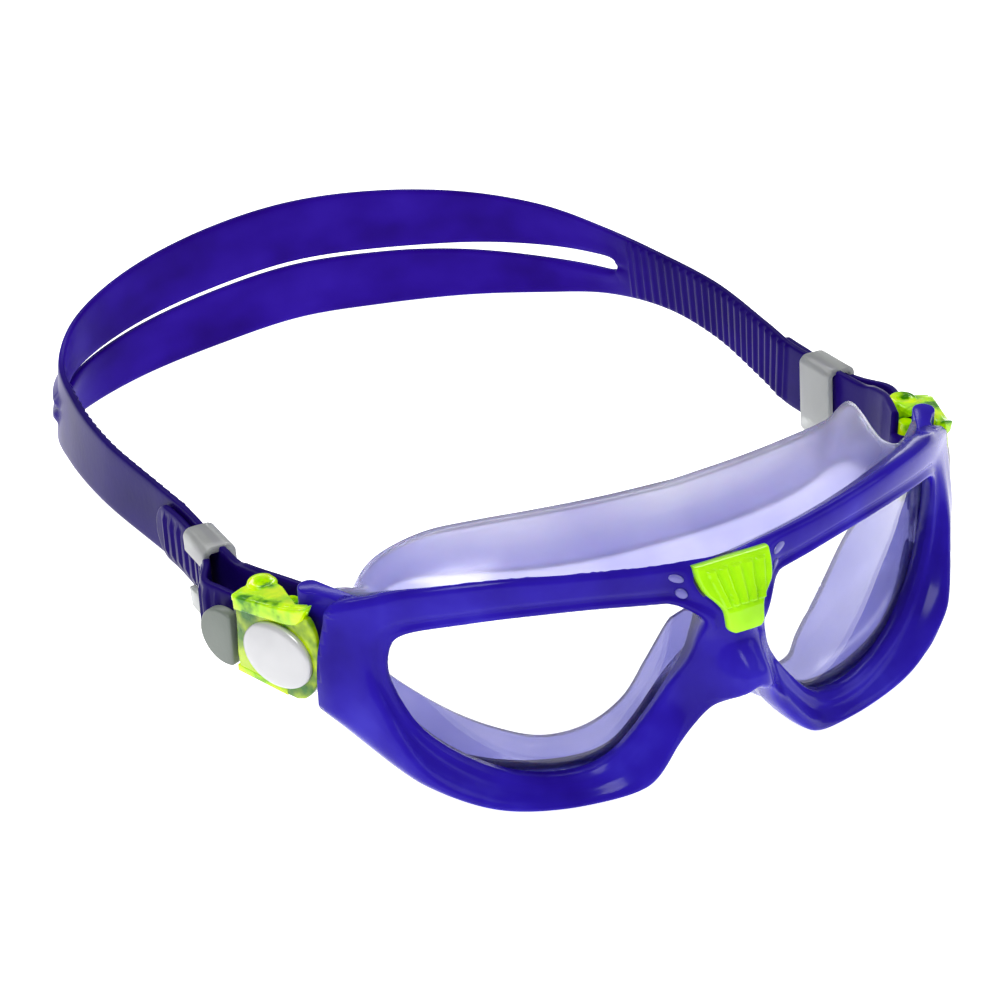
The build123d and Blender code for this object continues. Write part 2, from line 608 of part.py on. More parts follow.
# ================================================================ all the pieces
def all_pieces():
    pieces = {
        "frame_shell": make_frame(),
        "lens": make_lens(),
        "face_skirt": make_skirt(),
        "bridge_badge": make_badge(),
        "head_strap": make_strap(),
    }
    hinge_pin = upright(HINGE_T, HINGE_N, HINGE_PIN_R, LUG_LOW, LUG_TOP)
    lever_pin = upright(LEVER_T, LEVER_N, LEVER_PIN_R, BUCKLE_LOW, BUCKLE_TOP)
    roller_pin = upright(ROLLER_T, BAR_N, ROLLER_PIN_R, BUCKLE_LOW, BUCKLE_TOP + BOSS_RISE)
    pieces.update(both_sides("hinge_pin", on_right(hinge_pin)))
    pieces.update(both_sides("buckle_housing", on_right(make_housing())))
    pieces.update(both_sides("buckle_cap", on_right(make_cap())))
    pieces.update(both_sides("strap_bar", on_right(make_bar())))
    pieces.update(both_sides("strap_roller", on_right(make_roller())))
    pieces.update(both_sides("roller_pin", on_right(roller_pin)))
    pieces.update(both_sides("release_lever", on_right(make_lever())))
    pieces.update(both_sides("lever_pin", on_right(lever_pin)))
    pieces.update(both_sides("strap_keeper", make_keeper()))
    return pieces


def origin_shift(pieces):
    """Moves the origin to the middle of the underside of the whole object's box."""
    boxes = [shape.bounding_box() for shape in pieces.values()]
    low_y = min(box.min.Y for box in boxes)
    high_y = max(box.max.Y for box in boxes)
    low_z = min(box.min.Z for box in boxes)
    return Vector(0, -(low_y + high_y) / 2, -low_z)


PIECES = all_pieces()
SHIFT = origin_shift(PIECES)
for node, shape in PIECES.items():
    solid = Pos(SHIFT.X, SHIFT.Y, SHIFT.Z) * shape
    export_step(solid, f"parts/{node}.step")
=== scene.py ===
import math

import bmesh
import bpy
import numpy as np
from mathutils import Matrix, Vector


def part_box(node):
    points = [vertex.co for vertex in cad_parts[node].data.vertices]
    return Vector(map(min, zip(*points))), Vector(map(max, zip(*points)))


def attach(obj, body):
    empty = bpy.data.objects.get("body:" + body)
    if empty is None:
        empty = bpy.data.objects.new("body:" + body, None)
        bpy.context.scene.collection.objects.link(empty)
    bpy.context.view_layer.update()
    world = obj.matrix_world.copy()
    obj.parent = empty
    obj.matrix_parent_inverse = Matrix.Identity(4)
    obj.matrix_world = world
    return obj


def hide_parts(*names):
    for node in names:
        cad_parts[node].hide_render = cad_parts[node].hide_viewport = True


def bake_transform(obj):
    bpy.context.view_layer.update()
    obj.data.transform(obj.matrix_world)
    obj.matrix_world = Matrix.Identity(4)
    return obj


# The looks of the swim goggles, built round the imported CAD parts.
# Shapes are laid out in millimetres in the CAD's design coordinates: X across the face (the wearer's
# right is -X), Y back from the front of the frame, Z up from just under the resting surface.

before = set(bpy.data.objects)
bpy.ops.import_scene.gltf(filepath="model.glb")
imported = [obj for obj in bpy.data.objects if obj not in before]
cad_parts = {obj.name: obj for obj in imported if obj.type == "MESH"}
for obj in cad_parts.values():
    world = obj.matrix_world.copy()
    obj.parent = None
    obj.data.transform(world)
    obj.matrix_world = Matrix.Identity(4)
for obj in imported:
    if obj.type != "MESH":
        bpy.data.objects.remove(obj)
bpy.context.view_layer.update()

MM = 0.001
STRAP_BACK = 209.4         # design Y of the strap's outer face at the back of the head
REST_HEIGHT = 0.3          # design Z of the surface that the goggles rest on
SHIFT_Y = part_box("head_strap")[1].y / MM - STRAP_BACK


def row(x, y, z):
    """A design point, in the row frame, in metres."""
    return Vector((x, y + SHIFT_Y, z - REST_HEIGHT)) * MM


# ================================================================ curves and meshes
def catmull(points, count, closed=False):
    """Evenly spaced points on a smooth curve through the given ones."""
    p = np.array(points, float)
    if closed:
        p = np.vstack([p[-1], p, p[0], p[1]])
    else:
        p = np.vstack([2 * p[0] - p[1], p, 2 * p[-1] - p[-2]])
    dense = []
    for i in range(1, len(p) - 2):
        a, b, c, d = p[i - 1], p[i], p[i + 1], p[i + 2]
        for t in np.linspace(0, 1, 24, endpoint=False):
            dense.append(0.5 * (2 * b + (c - a) * t + (2 * a - 5 * b + 4 * c - d) * t**2
                                + (3 * b - a - 3 * c + d) * t**3))
    if not closed:
        dense.append(p[-2])
    dense = np.array(dense)
    if closed:
        dense = np.vstack([dense, dense[0]])
    along = np.concatenate([[0], np.cumsum(np.linalg.norm(np.diff(dense, axis=0), axis=1))])
    spots = np.linspace(0, along[-1], count, endpoint=not closed)
    return np.stack([np.interp(spots, along, dense[:, k]) for k in range(p.shape[1])], axis=1)


def smooth_step(value, low, high):
    t = np.clip((value - low) / (high - low), 0, 1)
    return t * t * (3 - 2 * t)


def make_object(name, verts, faces, smooth=True):
    """A mesh object from design points, with doubles merged and normals set outward."""
    mesh = bpy.data.meshes.new(name)
    mesh.from_pydata([row(*v) for v in verts], [], faces)
    bm = bmesh.new()
    bm.from_mesh(mesh)
    bmesh.ops.remove_doubles(bm, verts=bm.verts, dist=0.00002)
    bmesh.ops.dissolve_degenerate(bm, edges=bm.edges, dist=0.000005)
    bmesh.ops.recalc_face_normals(bm, faces=bm.faces)
    for face in bm.faces:
        face.smooth = smooth
    bm.to_mesh(mesh)
    bm.free()
    obj = bpy.data.objects.new(name, mesh)
    bpy.context.scene.collection.objects.link(obj)
    return obj


def grid_faces(rows, cols, start=0, wrap_rows=False, wrap_cols=False):
    faces = []
    for i in range(rows if wrap_rows else rows - 1):
        for j in range(cols if wrap_cols else cols - 1):
            a = start + i * cols + j
            b = start + i * cols + (j + 1) % cols
            c = start + ((i + 1) % rows) * cols + (j + 1) % cols
            d = start + ((i + 1) % rows) * cols + j
            faces.append((a, b, c, d))
    return faces


class Shape:
    """Collects grids of design points into one mesh."""

    def __init__(self):
        self.verts = []
        self.faces = []

    def grid(self, points, wrap_rows=False, wrap_cols=False):
        points = np.asarray(points, float)
        rows, cols = points.shape[:2]
        self.faces += grid_faces(rows, cols, len(self.verts), wrap_rows, wrap_cols)
        self.verts += [tuple(p) for p in points.reshape(-1, 3)]

    def loft_closed(self, points):
        """Rings of points (rows) closed round each ring, with both ends capped."""
        points = np.asarray(points, float)
        self.grid(points, wrap_cols=True)
        for ring in (points[0], points[-1]):
            start = len(self.verts)
            self.verts += [tuple(p) for p in ring]
            self.faces.append(tuple(range(start, start + len(ring))))

    def mirrored(self):
        """Adds the mirror image about X = 0."""
        count = len(self.verts)
        self.verts += [(-x, y, z) for x, y, z in self.verts]
        self.faces += [tuple(count + i for i in reversed(f)) for f in self.faces]
        return self

    def build(self, name, smooth=True):
        return make_object(name, self.verts, self.faces, smooth)


def modifier(obj, kind, apply=True, **values):
    mod = obj.modifiers.new(kind.title(), kind)
    for key, value in values.items():
        setattr(mod, key, value)
    if apply:
        with bpy.context.temp_override(object=obj, active_object=obj, selected_objects=[obj]):
            bpy.ops.object.modifier_apply(modifier=mod.name)
    return obj


def finish_piece(obj, body, material, slot, *nodes):
    obj.data.materials.clear()
    obj.data.materials.append(material)
    if body:
        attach(obj, body)
    if nodes:
        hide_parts(*nodes)
    return obj


# ---------------------------------------------------------------- buckle frame: t rearward, n outward
BUCKLE_X, BUCKLE_Y, BUCKLE_ANGLE = 72.5, 33.6, math.radians(67.0)
HINGE_T, HINGE_N = 0.3, -4.6


def buckle(side, t, n, z):
    """A point in the buckle's frame on one side (-1 for the wearer's right), in design coordinates."""
    x = BUCKLE_X + t * math.cos(BUCKLE_ANGLE) + n * math.sin(BUCKLE_ANGLE)
    y = BUCKLE_Y + t * math.sin(BUCKLE_ANGLE) - n * math.cos(BUCKLE_ANGLE)
    return (side * x, y, z)


def along_buckle(place):
    """How far back along its buckle a point in the row frame lies."""
    x = abs(place.x) / MM - BUCKLE_X
    y = place.y / MM - SHIFT_Y - BUCKLE_Y
    return x * math.cos(BUCKLE_ANGLE) + y * math.sin(BUCKLE_ANGLE)


def prism(side, outline, n0, n1, name, bevel):
    """A plate cut to an outline of (t, z) points between two distances n, with rounded edges."""
    count = len(outline)
    verts = [buckle(side, t, n0, z) for t, z in outline] + [buckle(side, t, n1, z) for t, z in outline]
    faces = [tuple(range(count)), tuple(range(2 * count - 1, count - 1, -1))]
    faces += [(i, (i + 1) % count, count + (i + 1) % count, count + i) for i in range(count)]
    obj = make_object(name, verts, faces)
    modifier(obj, "BEVEL", width=bevel * MM, segments=3, limit_method="ANGLE", angle_limit=math.radians(35))
    return obj


def shelf(side, outline, z0, z1, name, bevel):
    """A plate cut to an outline of (t, n) points between two heights, with rounded edges."""
    count = len(outline)
    verts = [buckle(side, t, n, z0) for t, n in outline] + [buckle(side, t, n, z1) for t, n in outline]
    faces = [tuple(range(count)), tuple(range(2 * count - 1, count - 1, -1))]
    faces += [(i, (i + 1) % count, count + (i + 1) % count, count + i) for i in range(count)]
    obj = make_object(name, verts, faces)
    modifier(obj, "BEVEL", width=bevel * MM, segments=3, limit_method="ANGLE", angle_limit=math.radians(35))
    return obj


def arc(centre, radius, start, end, count):
    return [(centre[0] + radius * math.cos(math.radians(a)), centre[1] + radius * math.sin(math.radians(a)))
            for a in np.linspace(start, end, count)]


def ring(side, t, n, inner, outer, z0, z1, name):
    """An upright tube with rounded ends."""
    steps = 40
    soft = 0.25
    profile = [(inner, z0 + soft), (inner, z1 - soft), (inner + soft, z1), (outer - soft, z1), (outer, z1 - soft),
               (outer, z0 + soft), (outer - soft, z0), (inner + soft, z0)]
    points = []
    for k in range(steps):
        a = 2 * math.pi * k / steps
        points.append([buckle(side, t + r * math.cos(a), n + r * math.sin(a), z) for r, z in profile])
    tube = Shape()
    tube.grid(points, wrap_rows=True, wrap_cols=True)
    return tube.build(name)


def join(name, parts):
    """Several objects made into one."""
    bm = bmesh.new()
    for part in parts:
        bm.from_mesh(part.data)
        bpy.data.objects.remove(part)
    mesh = bpy.data.meshes.new(name)
    bm.to_mesh(mesh)
    bm.free()
    obj = bpy.data.objects.new(name, mesh)
    bpy.context.scene.collection.objects.link(obj)
    return obj


def rod(side, t, n, radius, z0, z1, name):
    """An upright round cutter."""
    ring_low = [buckle(side, t + r[0], n + r[1], z0) for r in arc((0, 0), radius, 0, 352.5, 48)]
    ring_top = [buckle(side, t + r[0], n + r[1], z1) for r in arc((0, 0), radius, 0, 352.5, 48)]
    solid = Shape()
    solid.loft_closed([ring_low, ring_top])
    return solid.build(name, smooth=False)


# ================================================================ materials
def new_material(name, **values):
    """A material with a Principled shader; values name its sockets."""
    mat = bpy.data.materials.new(name)
    mat.use_nodes = True
    shader = mat.node_tree.nodes["Principled BSDF"]
    for key, value in values.items():
        shader.inputs[key.replace("_", " ")].default_value = value
    return mat, mat.node_tree, shader


def noise(tree, scale, detail=3.0, stretch=(1, 1, 1)):
    """A noise texture in object space, in cycles per metre."""
    where = tree.nodes.new("ShaderNodeTexCoord")
    mapping = tree.nodes.new("ShaderNodeMapping")
    mapping.inputs["Scale"].default_value = stretch
    texture = tree.nodes.new("ShaderNodeTexNoise")
    texture.inputs["Scale"].default_value = scale
    texture.inputs["Detail"].default_value = detail
    tree.links.new(where.outputs["Object"], mapping.inputs["Vector"])
    tree.links.new(mapping.outputs["Vector"], texture.inputs["Vector"])
    return texture.outputs["Fac"]


def ramp(tree, value, stops):
    """A colour ramp; stops are (position, colour)."""
    node = tree.nodes.new("ShaderNodeValToRGB")
    elements = node.color_ramp.elements
    while len(elements) < len(stops):
        elements.new(0.5)
    for element, (position, colour) in zip(elements, stops):
        element.position = position
        element.color = (*colour, 1)
    tree.links.new(value, node.inputs["Fac"])
    return node.outputs["Color"]


def blend_along(tree, axis, start, end, before, after):
    """One colour up to start, another from end on, along an object axis in metres."""
    where = tree.nodes.new("ShaderNodeTexCoord")
    split = tree.nodes.new("ShaderNodeSeparateXYZ")
    level = tree.nodes.new("ShaderNodeMapRange")
    level.inputs["From Min"].default_value = start
    level.inputs["From Max"].default_value = end
    mix = tree.nodes.new("ShaderNodeMix")
    mix.data_type = "RGBA"
    tree.links.new(where.outputs["Object"], split.inputs["Vector"])
    tree.links.new(split.outputs[axis], level.inputs["Value"])
    tree.links.new(level.outputs["Result"], mix.inputs[0])
    tree.links.new(before, mix.inputs[6])
    tree.links.new(after, mix.inputs[7])
    return mix.outputs[2]


def bump(tree, shader, value, strength, distance):
    node = tree.nodes.new("ShaderNodeBump")
    node.inputs["Strength"].default_value = strength
    node.inputs["Distance"].default_value = distance
    tree.links.new(value, node.inputs["Height"])
    tree.links.new(node.outputs["Normal"], shader.inputs["Normal"])


def violet_plastic():
    """Glossy tinted plastic: colour drifts a little where the moulding is thicker."""
    mat, tree, shader = new_material(
        "violet_plastic", Roughness=0.17, IOR=1.45, Specular_IOR_Level=0.11)
    tint = ramp(tree, noise(tree, 55), [
        (0.3, (0.014, 0.003, 0.24)), (0.55, (0.022, 0.009, 0.36)), (0.75, (0.036, 0.024, 0.46))])
    tree.links.new(tint, shader.inputs["Base Color"])
    bump(tree, shader, noise(tree, 160, 1.0), 0.05, 0.0006)
    return mat


def clear_lens():
    mat, tree, shader = new_material(
        "clear_lens", Base_Color=(0.82, 0.82, 0.825, 1), Roughness=0.02, IOR=1.45, Transmission_Weight=1.0)
    bump(tree, shader, noise(tree, 25, 0.0), 0.02, 0.0008)
    return mat


def lavender_silicone_shaded():
    mat, tree, shader = new_material(
        "lavender_silicone_shaded", Roughness=0.22, IOR=1.41, Transmission_Weight=0.75, Subsurface_Weight=0.2,
        Subsurface_Scale=0.003)
    # Painted light and shade on one lavender silicone: lightest at the top of the fold where the light catches it
    # (tint), a darker band level with the brow (root), and darkest low down under the frame (deep), as painted shade.
    tint = ramp(tree, noise(tree, 40), [(0.3, (0.66, 0.65, 0.89)), (0.7, (0.86, 0.86, 0.98))])
    deep = ramp(tree, noise(tree, 60), [(0.3, (0.28, 0.28, 0.72)), (0.7, (0.40, 0.40, 0.82))])
    root = ramp(tree, noise(tree, 50), [(0.3, (0.42, 0.41, 0.78)), (0.7, (0.60, 0.60, 0.89))])
    upper = blend_along(tree, "Z", 0.047, 0.0515, root, tint)
    tree.links.new(blend_along(tree, "Z", 0.020, 0.044, deep, upper), shader.inputs["Base Color"])
    bump(tree, shader, noise(tree, 900, 2.0), 0.04, 0.0002)
    return mat


def violet_silicone():
    mat, tree, shader = new_material(
        "violet_silicone", Roughness=0.28, IOR=1.42, Specular_IOR_Level=0.04)
    drift = noise(tree, 45, 2.0, (1, 1, 1.6))
    # The strap colour is darker towards the front, by the buckle, and lighter further back along Y.
    front_tone = ramp(tree, drift, [(0.3, (0.007, 0.001, 0.09)), (0.7, (0.013, 0.003, 0.14))])
    thin = ramp(tree, drift, [
        (0.3, (0.014, 0.001, 0.16)), (0.5, (0.020, 0.003, 0.24)), (0.75, (0.028, 0.007, 0.31))])
    tree.links.new(blend_along(tree, "Y", 0.052, 0.082, front_tone, thin), shader.inputs["Base Color"])
    bump(tree, shader, noise(tree, 700, 3.0), 0.08, 0.00025)
    return mat


def lime_plastic(name, seed_scale, transmission, dark, middle, bright):
    """Fluorescent lime plastic: bright yellow-green with deeper green in noise-spread patches; the colour also feeds
    emission, a painted glow.
    """
    mat, tree, shader = new_material(
        name, Roughness=0.08, IOR=1.5, Transmission_Weight=transmission, Specular_IOR_Level=0.3)
    tint = ramp(tree, noise(tree, seed_scale, 3.0), [(0.38, dark), (0.47, middle), (0.60, bright)])
    tree.links.new(tint, shader.inputs["Base Color"])
    # Painted glow: the colour is also emitted, so the lime parts shine without any lamp.
    tree.links.new(tint, shader.inputs["Emission Color"])
    shader.inputs["Emission Strength"].default_value = 0.16
    bump(tree, shader, noise(tree, 420, 1.0), 0.25, 0.0004)
    return mat


def satin(name, low, high, roughness, grain, depth=0.05, **values):
    """A plain satin finish with slight colour drift and fine grain."""
    mat, tree, shader = new_material(name, Roughness=roughness, **values)
    tree.links.new(ramp(tree, noise(tree, 60), [(0.3, low), (0.7, high)]), shader.inputs["Base Color"])
    bump(tree, shader, noise(tree, grain, 2.0), depth, 0.0003)
    return mat


FRAME_PLASTIC = violet_plastic()
LENS_CLEAR = clear_lens()
SKIRT_SILICONE = lavender_silicone_shaded()
STRAP_SILICONE = violet_silicone()
BUCKLE_LIME = lime_plastic("lime_buckle", 190, 0.4, (0.06, 0.28, 0.001), (0.44, 0.82, 0.0), (0.74, 0.93, 0.0))
BADGE_LIME = lime_plastic("lime_badge", 60, 0.0, (0.27, 0.62, 0.001), (0.33, 0.74, 0.001), (0.38, 0.80, 0.002))
# The plate behind the cap is the buckle's own lime, painted darker as shade.
SHADED_PLATE_LIME = lime_plastic("lime_plate_painted_shade", 150, 0.3, (0.02, 0.16, 0.001), (0.16, 0.30, 0.0), (0.48, 0.66, 0.0))
# The bridge marks are frame plastic painted paler: a painted highlight.
MARK_HIGHLIGHT_VIOLET = satin("painted_highlight_mark", (0.12, 0.11, 0.42), (0.17, 0.16, 0.50), 0.12, 900, 0.02)
# The badge seat is frame plastic painted near black: painted shade in the recess round the badge.
SEAT_SHADE = satin("painted_shade_seat", (0.006, 0.012, 0.02), (0.010, 0.02, 0.03), 0.3, 900, 0.02)
CAP_WHITE = satin("pearl_cap", (0.46, 0.46, 0.48), (0.56, 0.56, 0.58), 0.25, 900, 0.02, Metallic=0.2)
LEVER_GREY = satin("grey_lever", (0.12, 0.14, 0.125), (0.15, 0.175, 0.155), 0.42, 1400, 0.12)
KEEPER_FROSTED = satin("frosted_keeper", (0.50, 0.52, 0.51), (0.62, 0.64, 0.63), 0.30, 1100, 0.10,
                       Transmission_Weight=0.6, IOR=1.42)
PIN_STEEL = satin("pin_steel", (0.55, 0.55, 0.57), (0.66, 0.66, 0.68), 0.3, 2600, 0.08, Metallic=1.0)


# ================================================================ the frame's surfaces
WRAP_NEAR, WRAP_FAR, WRAP_WIDTH = 9.6, 2.8, 50.0
EYE_MIDDLE = np.array((34.0, 26.0))
TEMPLE_X = 71.6
SEAM_TOP, SEAM_LOW = 48.9, 25.2
TEMPLE_TOP, TEMPLE_LOW = 41.8, 20.6
BROW = [(0, SEAM_TOP), (14, 50.1), (29, 51.4), (43, 51.5), (56, 49.0), (62, 46.1), (68, 42.8), (TEMPLE_X, TEMPLE_TOP)]
CHEEK = [
    (TEMPLE_X, TEMPLE_LOW), (68.4, 17.6), (58.2, 8.4), (45.6, 2.7), (31, 1.0), (18.6, 3.5), (10.6, 11.2), (5.0, 21.4),
    (0, SEAM_LOW),
]
EYE = [
    (8.6, 40.4), (20, 42.6), (30, 43.5), (41, 43.2), (50, 41.7), (57.2, 39.3), (59.6, 35.6), (59.4, 28), (54.5, 17.3),
    (44.5, 9.5), (33.5, 6.3), (23.5, 8.0), (15.5, 16.4), (9.2, 26.6), (6.9, 35.8),
]


def wrap(x):
    share = np.abs(x) / WRAP_WIDTH
    return WRAP_NEAR * share**2 + WRAP_FAR * share**4


def lean(x):
    """How much further back a depth reaches along Y where the front face slopes."""
    share = np.abs(x) / WRAP_WIDTH
    slope = (2 * WRAP_NEAR * share + 4 * WRAP_FAR * share**3) / WRAP_WIDTH
    return np.sqrt(1 + slope**2)


def bridge(x, z):
    """How far the nose bridge stands in front of the wrap surface: flat-topped behind the badge."""
    ridge = np.interp(z, [24, 30, 35, 38, 41, 44, 47, 49.5], [8.4, 7.6, 6.8, 6.2, 5.3, 3.7, 1.6, 0.1])
    round_top = 0.5 * (1 + np.cos(np.pi * np.clip(np.abs(x) / 12.5, 0, 1)))
    flat_top = 1 - smooth_step(np.abs(x), 5.0, 12.5)
    high = smooth_step(z, 33, 41)
    return ridge * (flat_top * high + round_top * (1 - high))


def by_angle(points, wanted, closed=False):
    """Points of a curve round the eye, picked by their angle about the eye's middle."""
    curve = catmull(points, 900, closed) if len(points) < 200 else np.asarray(points, float)
    plan = curve[:, [0, 2]] if curve.shape[1] == 3 else curve
    theta = np.arctan2(plan[:, 1] - EYE_MIDDLE[1], plan[:, 0] - EYE_MIDDLE[0]) % (2 * np.pi)
    order = np.argsort(theta)
    theta, curve = theta[order], curve[order]
    theta = np.concatenate([theta - 2 * np.pi, theta, theta + 2 * np.pi])
    curve = np.vstack([curve, curve, curve])
    wanted = np.asarray(wanted) % (2 * np.pi)
    return np.stack([np.interp(wanted, theta, curve[:, k]) for k in range(curve.shape[1])], axis=1)


def distance_to(points, outline):
    """Shortest distance from each point to an outline given by dense points."""
    out = np.empty(len(points))
    for i, p in enumerate(points):
        out[i] = np.sqrt(((outline - p) ** 2).sum(1).min())
    return out


BROW_LINE = catmull(BROW, 700)
CHEEK_LINE = catmull(CHEEK, 700)
TEMPLE_LINE = np.stack([np.full(120, TEMPLE_X), np.linspace(TEMPLE_TOP, TEMPLE_LOW, 120)], axis=1)
OUTLINE = np.vstack([BROW_LINE, TEMPLE_LINE[1:-1], CHEEK_LINE])
OUTLINE_BOTH = np.vstack([OUTLINE, OUTLINE * (-1, 1)])
SEAM_LINE = np.stack([np.zeros(200), np.linspace(SEAM_LOW, SEAM_TOP, 202)[1:-1]], axis=1)
EYE_LINE = catmull(EYE, 1200, closed=True)
TOP_ANGLE = math.atan2(SEAM_TOP - EYE_MIDDLE[1], -EYE_MIDDLE[0])
LOW_ANGLE = math.atan2(SEAM_LOW - EYE_MIDDLE[1], -EYE_MIDDLE[0])


def fan(count_round, count_seam):
    """Angles of the lines that fan out from the eye: round the outline, then up the seam."""
    outer = np.linspace(TOP_ANGLE, LOW_ANGLE, count_round)
    ease = 0.5 - 0.5 * np.cos(np.linspace(0, np.pi, count_seam + 2))
    span = (LOW_ANGLE % (2 * np.pi)) - TOP_ANGLE
    seam = (LOW_ANGLE % (2 * np.pi)) - span * ease[1:-1]
    return outer, seam


def frame_lines(count_round=230, count_seam=36):
    """Ends of the lines from the eye opening to the outline or the seam, and their angles."""
    outer, seam = fan(count_round, count_seam)
    theta = np.concatenate([outer, seam])
    inner = by_angle(EYE_LINE, theta)
    rim = by_angle(OUTLINE, outer)
    rim[0], rim[-1] = (0, SEAM_TOP), (0, SEAM_LOW)
    reach = SEAM_LINE[:, 1] - EYE_MIDDLE[1]
    seam_theta = np.arctan2(reach, -EYE_MIDDLE[0]) % (2 * np.pi)
    order = np.argsort(seam_theta)
    seam_z = np.interp(seam % (2 * np.pi), seam_theta[order], SEAM_LINE[order, 1])
    middle = np.stack([np.zeros(len(seam)), seam_z], axis=1)
    return inner, np.vstack([rim, middle]), count_round


FRAME_DEPTH = 7.0
LENS_FRONT = 2.6
RIM_WIDTH = 3.5
EDGE_STEPS = (0, 0.12, 0.35, 0.7, 1.15, 1.7, 2.4, 3.3)
INNER_STEPS = (0, 0.12, 0.35, 0.7, 1.1, 1.6, 2.2, 2.9)


def frame_front(points, a, b):
    """Depth in front of (negative) or behind the wrap surface, from the distances to the edges."""
    x, z = points[:, 0], points[:, 1]
    low = 1 - smooth_step(z, 24, 42)
    temple = smooth_step(x, 58, 68)
    nose = (1 - smooth_step(x, 10, 19)) * (1 - smooth_step(z, 34, 40))
    rolled = 1.2 + 0.5 * low + 1.6 * nose
    u = 1 - np.clip(b / rolled, 0, 1)
    depth = rolled * (1 - np.sqrt(np.clip(1 - u * u, 0, 1)))
    v = 1 - np.clip(a / 0.7, 0, 1)
    depth += 0.7 * (1 - np.sqrt(np.clip(1 - v * v, 0, 1)))
    depth -= 0.40 * np.exp(-(((a - 1.0) / 0.6) ** 2)) * smooth_step(a, 0, 0.8) * (1 - nose)
    depth += 0.35 * np.exp(-(((a - 2.3) / 0.7) ** 2)) * (1 - nose)
    rise = np.sqrt(np.clip(1 - (1 - np.clip(b / 3.0, 0, 1)) ** 2, 0, 1)) * smooth_step(a, 0, 6.0)
    depth -= (0.4 + 6.4 * low) * (1 - 0.6 * temple) * (1 - nose) * rise
    depth -= 5.2 * nose * rise * (1 - smooth_step(b, 4.5, 10.0))
    return depth


def make_frame():
    inner, outer, rim_count = frame_lines()
    length = np.linalg.norm(outer - inner, axis=1)
    rows = []
    for k in range(len(inner)):
        squeeze = min(1.0, length[k] / 7.6)
        near = [s * squeeze for s in INNER_STEPS]
        far = [length[k] - s * squeeze for s in reversed(EDGE_STEPS)]
        middle = list(np.linspace(near[-1], far[0], 7)[1:-1])
        rows.append(np.array(near + middle + far) / length[k])
    share = np.array(rows)[:, :, None]
    flat = inner[:, None, :] * (1 - share) + outer[:, None, :] * share
    shape = flat.shape[:2]
    points = flat.reshape(-1, 2)
    a = distance_to(points, EYE_LINE)
    b = distance_to(points, OUTLINE_BOTH)
    x, z = points[:, 0], points[:, 1]
    stand = bridge(x, z)
    front = wrap(x) + frame_front(points, a, b) * lean(x) - stand
    deep = LENS_FRONT + (FRAME_DEPTH - LENS_FRONT) * (1 - smooth_step(b, RIM_WIDTH - 0.1, RIM_WIDTH + 0.3))
    deep = np.where(x > 63.4, FRAME_DEPTH, deep)
    temple_end = 31.5 + (TEMPLE_X - x) * 0.826
    back = np.minimum(wrap(x) + deep * lean(x) - 0.5 * stand, np.maximum(temple_end, front + 0.8))
    front_grid = np.stack([x, front, z], axis=1).reshape(*shape, 3)
    # the rear of the brow is lower than its front, so the top falls away behind the rolled edge
    fall = 4.6 * smooth_step(z, 39, 47) * a / (a + b + 1e-9) * (1 - 0.7 * smooth_step(x, 60, 70))
    back_grid = np.stack([x, back, z - fall], axis=1).reshape(*shape, 3)
    shell = Shape()
    shell.grid(front_grid, wrap_rows=True)
    shell.grid(back_grid[:, ::-1], wrap_rows=True)
    shell.grid(np.stack([front_grid[:rim_count, -1], back_grid[:rim_count, -1]], axis=1))
    shell.grid(np.stack([back_grid[:, 0], front_grid[:, 0]], axis=1), wrap_rows=True)
    body = shell.mirrored().build("frame_body")
    for side in (-1, 1):
        swing = rod(side, HINGE_T, HINGE_N, 7.5, 8.0, 60.0, "swing")
        modifier(body, "BOOLEAN", operation="DIFFERENCE", object=swing, solver="EXACT")
        bpy.data.objects.remove(swing)
    lugs = []
    for side in (-1, 1):
        for name, low, top in (("low", 21.0, 23.9), ("top", 32.1, 43.2)):
            outline = [(-9.5, -7.6), (0.0, -6.9)] + arc((HINGE_T, HINGE_N), 2.3, -90, 140, 16)
            outline += [(-5.0, -4.2), (-8.3, -4.0)]
            lugs.append(shelf(side, outline, low, top, f"lug_{name}_{side}", 0.4))
    return join("frame_body", [body] + lugs)


def front_point(x, z, lift):
    """A point on the frame's front face, lifted off it."""
    spot = np.array([[x, z]])
    depth = frame_front(spot, distance_to(spot, EYE_LINE), distance_to(spot, OUTLINE_BOTH))[0]
    return (x, wrap(x) + depth * lean(x) - bridge(x, z) - lift, z)


def make_marks():
    """Low oval moulding marks on the bridge, two on each side of the badge; their paler colour is a painted highlight.
    """
    marks = Shape()
    for side in (-1, 1):
        for x, z, long, short, tilt in ((11.0, 47.3, 1.5, 0.8, 25), (10.2, 44.2, 1.0, 0.9, 70)):
            ca, sa = math.cos(math.radians(tilt)), math.sin(math.radians(tilt))
            rings = []
            for share, lift in ((1.0, -0.3), (1.0, 0.12), (0.9, 0.3), (0.6, 0.42), (0.05, 0.48)):
                oval = []
                for a in np.linspace(0, 2 * math.pi, 24, endpoint=False):
                    p, q = long * share * math.cos(a), short * share * math.sin(a)
                    oval.append(front_point(side * (x + p * ca - q * sa), z + p * sa + q * ca, lift))
                rings.append(oval)
            marks.loft_closed(rings)
    return marks.build("bridge_marks")


